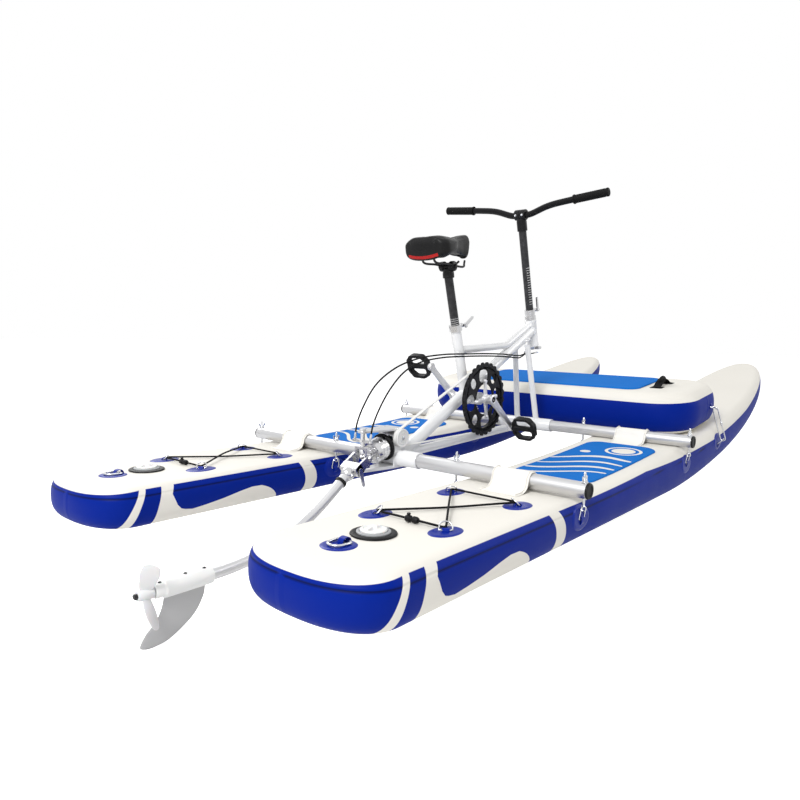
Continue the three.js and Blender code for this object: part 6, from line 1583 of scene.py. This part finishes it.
def pedal(name, way):
    """Cage pedal: a hooped, chamfered frame round a barrel, with pins and end caps."""
    angle = CRANK_ANGLE if way == STARBOARD else CRANK_ANGLE + math.pi
    centre = CRANK + crank_way(angle) * CRANK_LENGTH + Y * way * PEDAL_PLANE
    long, wide, thick, cut = 42.0, 43.0, 10.5, 20.0
    outline = np.array([(long, wide - cut), (long - cut, wide), (cut - long, wide), (-long, wide - cut),
                        (-long, cut - wide), (cut - long, -wide), (long - cut, -wide), (long, cut - wide)])
    fine = []
    for i in range(8):
        p, q = outline[i], outline[(i + 1) % 8]
        fine += [p + (q - p) * s for s in (0.12, 0.4, 0.6, 0.88)]
    fine = np.array(fine)
    inner = fine * np.array([(long - 9) / long, (wide - 9) / wide])
    teeth = (np.arange(len(fine)) % 4 < 2) * 1.6
    rows = []
    for ring, z in ((fine, -thick), (fine, thick), (inner, thick), (inner, -thick)):
        level = z + np.sign(z) * (teeth if ring is fine else teeth * 0.6) - np.sign(z) * 1.6
        rows.append(np.column_stack([ring, level]))
    frame_ring = np.stack(rows, 1)
    frame_ring = np.concatenate([frame_ring, frame_ring[:1]]) + centre
    cage = grid(frame_ring, closed=True)
    barrel = turned(centre - Y * 43, centre + Y * 43,
                    [(5.2, 0), (9, 0), (11, 3), (12.5, 12), (9.5, 20), (9.5, 66), (12.5, 74), (11, 83), (9, 86),
                     (5.2, 86), (5.2, 0)], 32)
    ribs = []
    for s in (-1, 1):
        low = [(s * 10, -34), (s * 35, -34), (s * 35, -30), (s * 10, -28)]
        for flip in (-1, 1):
            ribs.append(plate([(u, v * flip) for u, v in low], -6, 6, lambda q: q + centre))
    pins = [turned(centre + at(sx * 37.5, sy * 14, sz * 8.8), centre + at(sx * 37.5, sy * 14, sz * 12),
                   [(0, 0), (1.8, 0), (1.6, 2.4), (0, 2.6)], 10)
            for sx in (-1, 1) for sy in (-1, 1) for sz in (-1, 1)]
    body = "right_pedal" if way == STARBOARD else "left_pedal"
    whole = [pitched(part, centre) for part in (cage, barrel, *ribs, *pins)]
    make(f"cage_pedal_{name}", whole, "plastic", body, [f"pedal_{name}"], bevel=0.7, sharp=30)
    spindle = CRANK + crank_way(angle) * CRANK_LENGTH
    axle = tube(spindle + Y * way * 84, spindle + Y * way * 171, 9, 24, soft=0.6)
    nut = turned(spindle + Y * way * 84.6, spindle + Y * way * 92, [(0, 0), (8, 0), (8, 5), (6.5, 6), (0, 6)],
                 6)
    make(f"pedal_axle_{name}", [axle, nut], "black_alloy", "cranks", bevel=0.3)


PULLEY = at(-8, 0, 236)


BELT_TEETH, TOOTH_STEPS = 161, 6
BELT_PLANE, BELT_HALF = -38.5, 5.5


def belt_line(outset, count):
    """The belt's loop: an arc round the ring, an arc round the pulley, and the two straights."""
    gap_line = PULLEY - CRANK
    bearing = math.atan2(gap_line[2], gap_line[0])
    big, small = 108 + outset, 22 + outset
    open_ = math.acos((big - small) / math.hypot(gap_line[0], gap_line[2]))
    a = arc(CRANK, X * big, Z * big, bearing + open_, bearing - open_ + 2 * math.pi, 200)
    b = arc(PULLEY, X * small, Z * small, bearing - open_, bearing + open_, 60)
    line = np.concatenate([a, b, a[:1]])
    reach = np.concatenate([[0], np.cumsum(np.linalg.norm(np.diff(line, axis=0), axis=1))])
    spots = np.linspace(0, reach[-1], count, endpoint=False)
    return np.stack([np.interp(spots, reach, line[:, k]) for k in range(3)], -1)


def belt():
    """Toothed belt: a band whose inner face carries a tooth every 8 mm."""
    count = BELT_TEETH * TOOTH_STEPS
    outer = belt_line(4.4, count)
    inner = belt_line(2.3, count)
    root = unit(outer - inner)
    tooth = (np.arange(count) % TOOTH_STEPS < TOOTH_STEPS / 2) * 1.7
    inner = inner - root * tooth[:, None]
    y0, y1 = BELT_PLANE - BELT_HALF, BELT_PLANE + BELT_HALF
    rings = np.stack([outer + Y * y0, outer + Y * y1, inner + Y * y1, inner + Y * y0], 1)
    rings = np.concatenate([rings, rings[:1]])
    make("toothed_belt", [grid(rings, closed=True)], "belt", ROOT, ["belt"], sharp=40)


def drive_pulley():
    """Grooved wheel outside the starboard cheek, its cross shaft and its bolt."""
    outer = -49.0
    a = PULLEY + Y * outer
    b = PULLEY + Y * 38.3
    wheel = turned(a, b, [(0, 1.2), (7, 1.2), (7.4, 0), (11, 0), (11.4, 1.4), (14, 1.4), (14.4, 0.2), (18, 0.2),
                          (18.4, 1.4), (22, 1.4),
                          (22.6, 0), (26.2, 0), (27, 0.8), (27, 3.4), (22, 4), (22, 16.7), (8, 16.7), (8, 40),
                          (0, 40)], 56)
    shaft = turned(PULLEY - Y * 12, b,
                   [(0, 0), (8, 0), (8, 44.3), (10, 44.3), (10, 50), (9.4, 50.3), (0, 50.3)], 32)
    make("pulley_wheel", [wheel], "white", "belt_pulley", ["drive_pulley"], bevel=0.3)
    make("pulley_shaft", [shaft], "steel", "belt_pulley")
    bolt = turned(a + Y * 1.2, a - Y * 4, [(0, 0), (5.6, 0), (5.6, 2), (4, 3), (2.4, 3), (2.2, 1), (0, 1)], 6)
    make("pulley_bolt", [bolt], "steel", "belt_pulley")


cranks()
pedal("right", STARBOARD)
pedal("left", PORT)
belt()
drive_pulley()

# ---------------------------------------------------------------- gearbox and drive leg

SWIVEL = at(-128, 0, 190)
LEG_PITCH = 35 * DEG


def on_gear_axis(x):
    """Point on the gear housing's axis at x."""
    return at(x, 0, 190 + 25 * (x + 128) / 120)


def gearbox():
    """Polished housing: a cross barrel on the pulley shaft, a necked body and a finned drum."""
    start = PULLEY - Y * 26
    cross = turned(start, PULLEY + Y * 26, [(9, 0), (18, 0), (20.4, 1.5), (21, 4), (21, 20), (20, 21), (20, 31),
                                            (21, 32), (21, 48), (20.4, 50.5), (18, 52), (9, 52)], 48)
    neck = turned(on_gear_axis(-14), on_gear_axis(-46), [(0, 0), (19, 0), (20, 4), (20, 31), (0, 31)], 48)
    a, b = on_gear_axis(-44.3), on_gear_axis(-100)
    drum = turned(a, b, [(0, 0), (33, 0), (34, 1), (34, 12), (32.6, 13), (32.6, 15), (34, 16), (34, 27),
                         (32.6, 28), (32.6, 30), (34, 31),
                         (34, 44), (31, 48.5), (24, 49.2), (23, 47.6), (14, 47.6), (14, 56.8), (12.6, 58),
                         (6.6, 58), (6.6, 40), (0, 40)], 56)
    bolts = []
    axis = unit(b - a)
    side = np.cross(axis, Y)
    for k in range(6):
        t = k / 6 * 2 * math.pi
        spot = a + axis * 48.6 + (side * math.cos(t) + Y * math.sin(t)) * 27.4
        bolts.append(turned(spot, spot + axis * 5,
                            [(0, 0), (2.9, 0), (2.9, 2.4), (1.6, 2.8), (1.5, 1.2), (0, 1.2)], 14))
    make("gearbox_body", [cross, neck, drum], "alloy", ROOT, ["gearbox_housing"], bevel=0.3)
    make("gearbox_bolts", bolts, "steel", ROOT)
    fa, fb = on_gear_axis(-34), on_gear_axis(-44)
    flange = turned(fa, fb, [(20.3, 0), (38, 0), (40, 2), (40, 8.6), (38.6, 10), (20.3, 10), (20.3, 0)], 56)
    make("gearbox_ring", [flange], "plastic", ROOT, ["gearbox_flange"], bevel=0.4)
    keep("output_shaft", "alloy", 0.4)
    keep("swivel_plate", "brushed", 0.8)
    keep("steer_yoke", "alloy", 0.9)
    keep("leg_latch", "alloy", 0.8)


LEG_BEND = 600
BEND_START = 168


def on_leg(reach, rise=0.0):
    """Point on the leg's straight run: reach from its pivot, rise square to it."""
    return at(-128 - reach * math.cos(LEG_PITCH) - rise * math.sin(LEG_PITCH), 0,
              190 - reach * math.sin(LEG_PITCH) + rise * math.cos(LEG_PITCH))


def leg_centre(turn):
    """Point of the leg's bend where it is still turned down by turn."""
    start = on_leg(BEND_START)
    return at(start[0] - LEG_BEND * (math.sin(LEG_PITCH) - math.sin(turn)), 0,
              start[2] - LEG_BEND * (math.cos(turn) - math.cos(LEG_PITCH)))


TAIL_Z = leg_centre(0)[2]


def drive_leg():
    """Bent leg tube, its black clamp ring and the milled fork that straddles the yoke."""
    line = np.concatenate([
        np.linspace(on_leg(40), on_leg(BEND_START), 8, endpoint=False),
        [leg_centre(t) for t in np.linspace(LEG_PITCH, 0, 30)],
        np.linspace(leg_centre(0), at(-700, 0, TAIL_Z), 5)[1:],
    ])
    pipe = sweep(line, 14, 40, across=Y)
    make("leg_pipe", [pipe], "tube", "leg", ["leg_tube"], sharp=50)
    band = turned(on_leg(98), on_leg(107), [(14, 0), (16, 0), (16.5, 0.6), (16.5, 8.4), (16, 9), (14, 9)], 44)
    make("leg_ring", [band], "plastic", "leg")

    def fork_place(q):
        """(reach, rise, side) about the swivel."""
        return np.array([on_leg(r, h) + Y * s for r, h, s in q])

    parts = []
    for way in (1, -1):
        round_end = arc(at(0, 0, 0), -X * 11, Y * 11, -math.pi / 2, math.pi / 2, 13)[:, :2]
        outline = [tuple(q) for q in round_end] + [(46, 15), (60, 13), (60, -13), (46, -15)]
        low, high = (24.3, 30.3) if way == 1 else (-30.3, -24.3)
        parts.append(plate(outline, low, high, fork_place))
        spot = SWIVEL + Y * way * 30.3
        parts.append(turned(spot, spot + Y * way * 5, [(0, 0), (8, 0), (8, 1.4), (6, 1.6), (6, 4), (0, 4.2)],
                            6))
    parts.append(plate([(36, -15), (60, -15), (64, -11), (64, 11), (60, 15), (36, 15)], -30.3, 30.3,
                       fork_place))
    parts.append(turned(on_leg(60), on_leg(84),
                        [(0, 0), (19, 0), (19.6, 1), (19.6, 14), (16.5, 22), (14, 24), (0, 24)], 40))
    for way in (1, -1):
        spot = on_leg(72, 0) + Y * way * 17
        parts.append(turned(spot, spot + Y * way * 7, [(0, 0), (5, 0), (5, 4.4), (3.4, 6), (0, 6)], 6))
    make("leg_fork", parts, "alloy", "leg", bevel=0.7)


def fin_and_sleeve():
    """White socket over the leg's end, and the swept fin under it: between the leading and the
    trailing edge, a thin section whose half thickness follows the root of its distance to both."""
    a, b = at(-624, 0, TAIL_Z), at(-764, 0, TAIL_Z)
    body = turned(a, b, [(14.3, 0), (17.6, 0), (19.3, 1.4), (19.5, 4), (19.5, 117), (16.4, 120), (16, 122),
                         (16, 138), (15, 140), (5.6, 140), (5.6, 100), (14.3, 76), (14.3, 0)], 48)
    s = np.linspace(0, 1, 26)
    path = np.stack([-636 - s * 105, np.zeros_like(s), np.full_like(s, TAIL_Z - 17)], -1)
    tall = np.interp(s, [0, 0.08, 0.92, 1], [1, 5.6, 5.6, 1])
    rib = sweep(path, (tall, 4.6), 16, across=Z)
    make("fin_socket", [body, rib], "white", "leg", ["fin_sleeve"], sharp=40)
    screws = []
    for share in (0.12, 0.46, 0.9):
        x = -624 - 140 * share
        r = 16 if share * 140 > 118 else 19.5
        spot = at(x, 0, TAIL_Z + r - 0.8)
        screws.append(turned(spot, spot + Z * 5,
                             [(0, 0), (4, 0), (4, 1.4), (3, 2.6), (1.8, 2.7), (1.6, 1.2), (0, 1.2)], 20))
    make("socket_screws", screws, "black_alloy", "leg")

    lead = np.array([(0, 0.10), (0.02, 0.2), (0.05, 0.33), (0.25, 0.61), (0.58, 0.82), (0.92, 0.96),
                     (1.25, 1.0)])
    trail = np.array([(1, 0.10), (1.0, 0.16), (1.05, 0.34), (1.18, 0.55), (1.42, 0.74), (1.53, 0.93),
                      (1.42, 0.985), (1.25, 1.0)])

    def edge_line(table):
        pts = np.column_stack([table, np.zeros(len(table))])
        return loop_path(pts, 14)[:, :2]

    front, rear = edge_line(lead), edge_line(trail)
    down = 0.10 + 0.90 * np.sin(np.linspace(0, 1, 46) * math.pi / 2)
    xf = np.interp(down, np.maximum.accumulate(front[:, 1]), front[:, 0])
    xr = np.interp(down, np.maximum.accumulate(rear[:, 1]), rear[:, 0])
    chord = np.linspace(0, 1, 26)
    foil = np.sqrt(np.clip(chord * (1 - chord) * 4, 0, 1)) ** 0.8 * 2.5
    u = xf[:, None] + (xr - xf)[:, None] * (1 - np.cos(chord * math.pi)[None]) / 2
    x = -637 - 104 * u
    z = np.broadcast_to((TAIL_Z - 122 * down)[:, None], x.shape)
    fade = np.clip((1.0 - down) / 0.05, 0.12, 1)[:, None] ** 0.5
    foil_at = np.interp((1 - np.cos(chord * math.pi)) / 2, chord, foil)[None] * fade
    rows = np.concatenate([np.stack([x, foil_at, z], -1), np.stack([x, -foil_at, z], -1)[:, ::-1]], axis=1)
    caps = [rows[i][None] * (1, 0, 1) for i in (0, -1)]
    fin = grid(np.concatenate([caps[0], rows, caps[1]]), closed=True)
    make("swept_fin", [fin], "fin", "leg", ["fin"], sharp=50)


BLADES = 3
SCREW_RADIUS, BLADE_CHORD = 78, 40
ROOT_TWIST, TIP_TWIST = 72, 50
FIRST_BLADE = 115 * DEG


def screw():
    """Three blades: at each radius a thin section, its chord and twist from the tables."""
    front = -767.0
    hub = turned(at(front, 0, TAIL_Z), at(front - 34, 0, TAIL_Z),
                 [(0, 0), (12.6, 0), (13, 0.8), (13, 20), (12, 30), (10, 34), (0, 34)], 40)
    parts = [hub]
    shares = np.array([0.1, 0.4, 0.66, 0.88, 1])
    chords = np.array([0.55, 0.86, 1, 0.86, 0.4])
    r = np.concatenate([np.linspace(0.12, 0.9, 18), 1 - 0.1 * (1 - np.linspace(0, 1, 12)) ** 2])
    r = np.unique(np.round(r, 5))
    width = smooth_table(r, shares, chords) * BLADE_CHORD
    width = np.where(r > 0.88, 34.4 * np.sqrt(np.clip(1 - ((r - 0.88) / 0.122) ** 2, 0, 1)), width)
    twist = ROOT_TWIST * DEG + (TIP_TWIST - ROOT_TWIST) * DEG * r
    t = np.linspace(0, 2 * math.pi, 26, endpoint=False)
    across, thick = np.cos(t) / 2, np.sin(t) / 2
    for i in range(BLADES):
        spin = FIRST_BLADE + i / BLADES * 2 * math.pi
        chord = across[None] * width[:, None]
        deep = thick[None] * 3.0 * np.interp(r, [0.1, 0.9, 1], [1.2, 0.9, 0.3])[:, None]
        camber = (0.25 - across[None] ** 2) * width[:, None] * 0.10
        x = chord * np.sin(twist)[:, None] + (deep + camber) * np.cos(twist)[:, None]
        y = chord * np.cos(twist)[:, None] - (deep + camber) * np.sin(twist)[:, None]
        z = (r * SCREW_RADIUS)[:, None] + np.zeros_like(y)
        lift = y * math.cos(spin) + z * math.sin(spin)
        side = z * math.cos(spin) - y * math.sin(spin)
        rows = np.stack([front - 17 + x, side, TAIL_Z + lift], -1)
        parts.append(capped(rows))
    make("screw_blades", parts, "blade", "screw", ["propeller"], sharp=50)
    nut = turned(at(front - 32, 0, TAIL_Z), at(front - 41, 0, TAIL_Z),
                 [(0, 0), (6.5, 0), (6.5, 7), (5.4, 8.8), (0, 8.8)], 6)
    shaft = tube(at(front + 20, 0, TAIL_Z), at(front - 2, 0, TAIL_Z), 10, 24)
    make("screw_nut", [nut, shaft], "black_alloy", "screw", bevel=0.4)


gearbox()
drive_leg()
fin_and_sleeve()
screw()
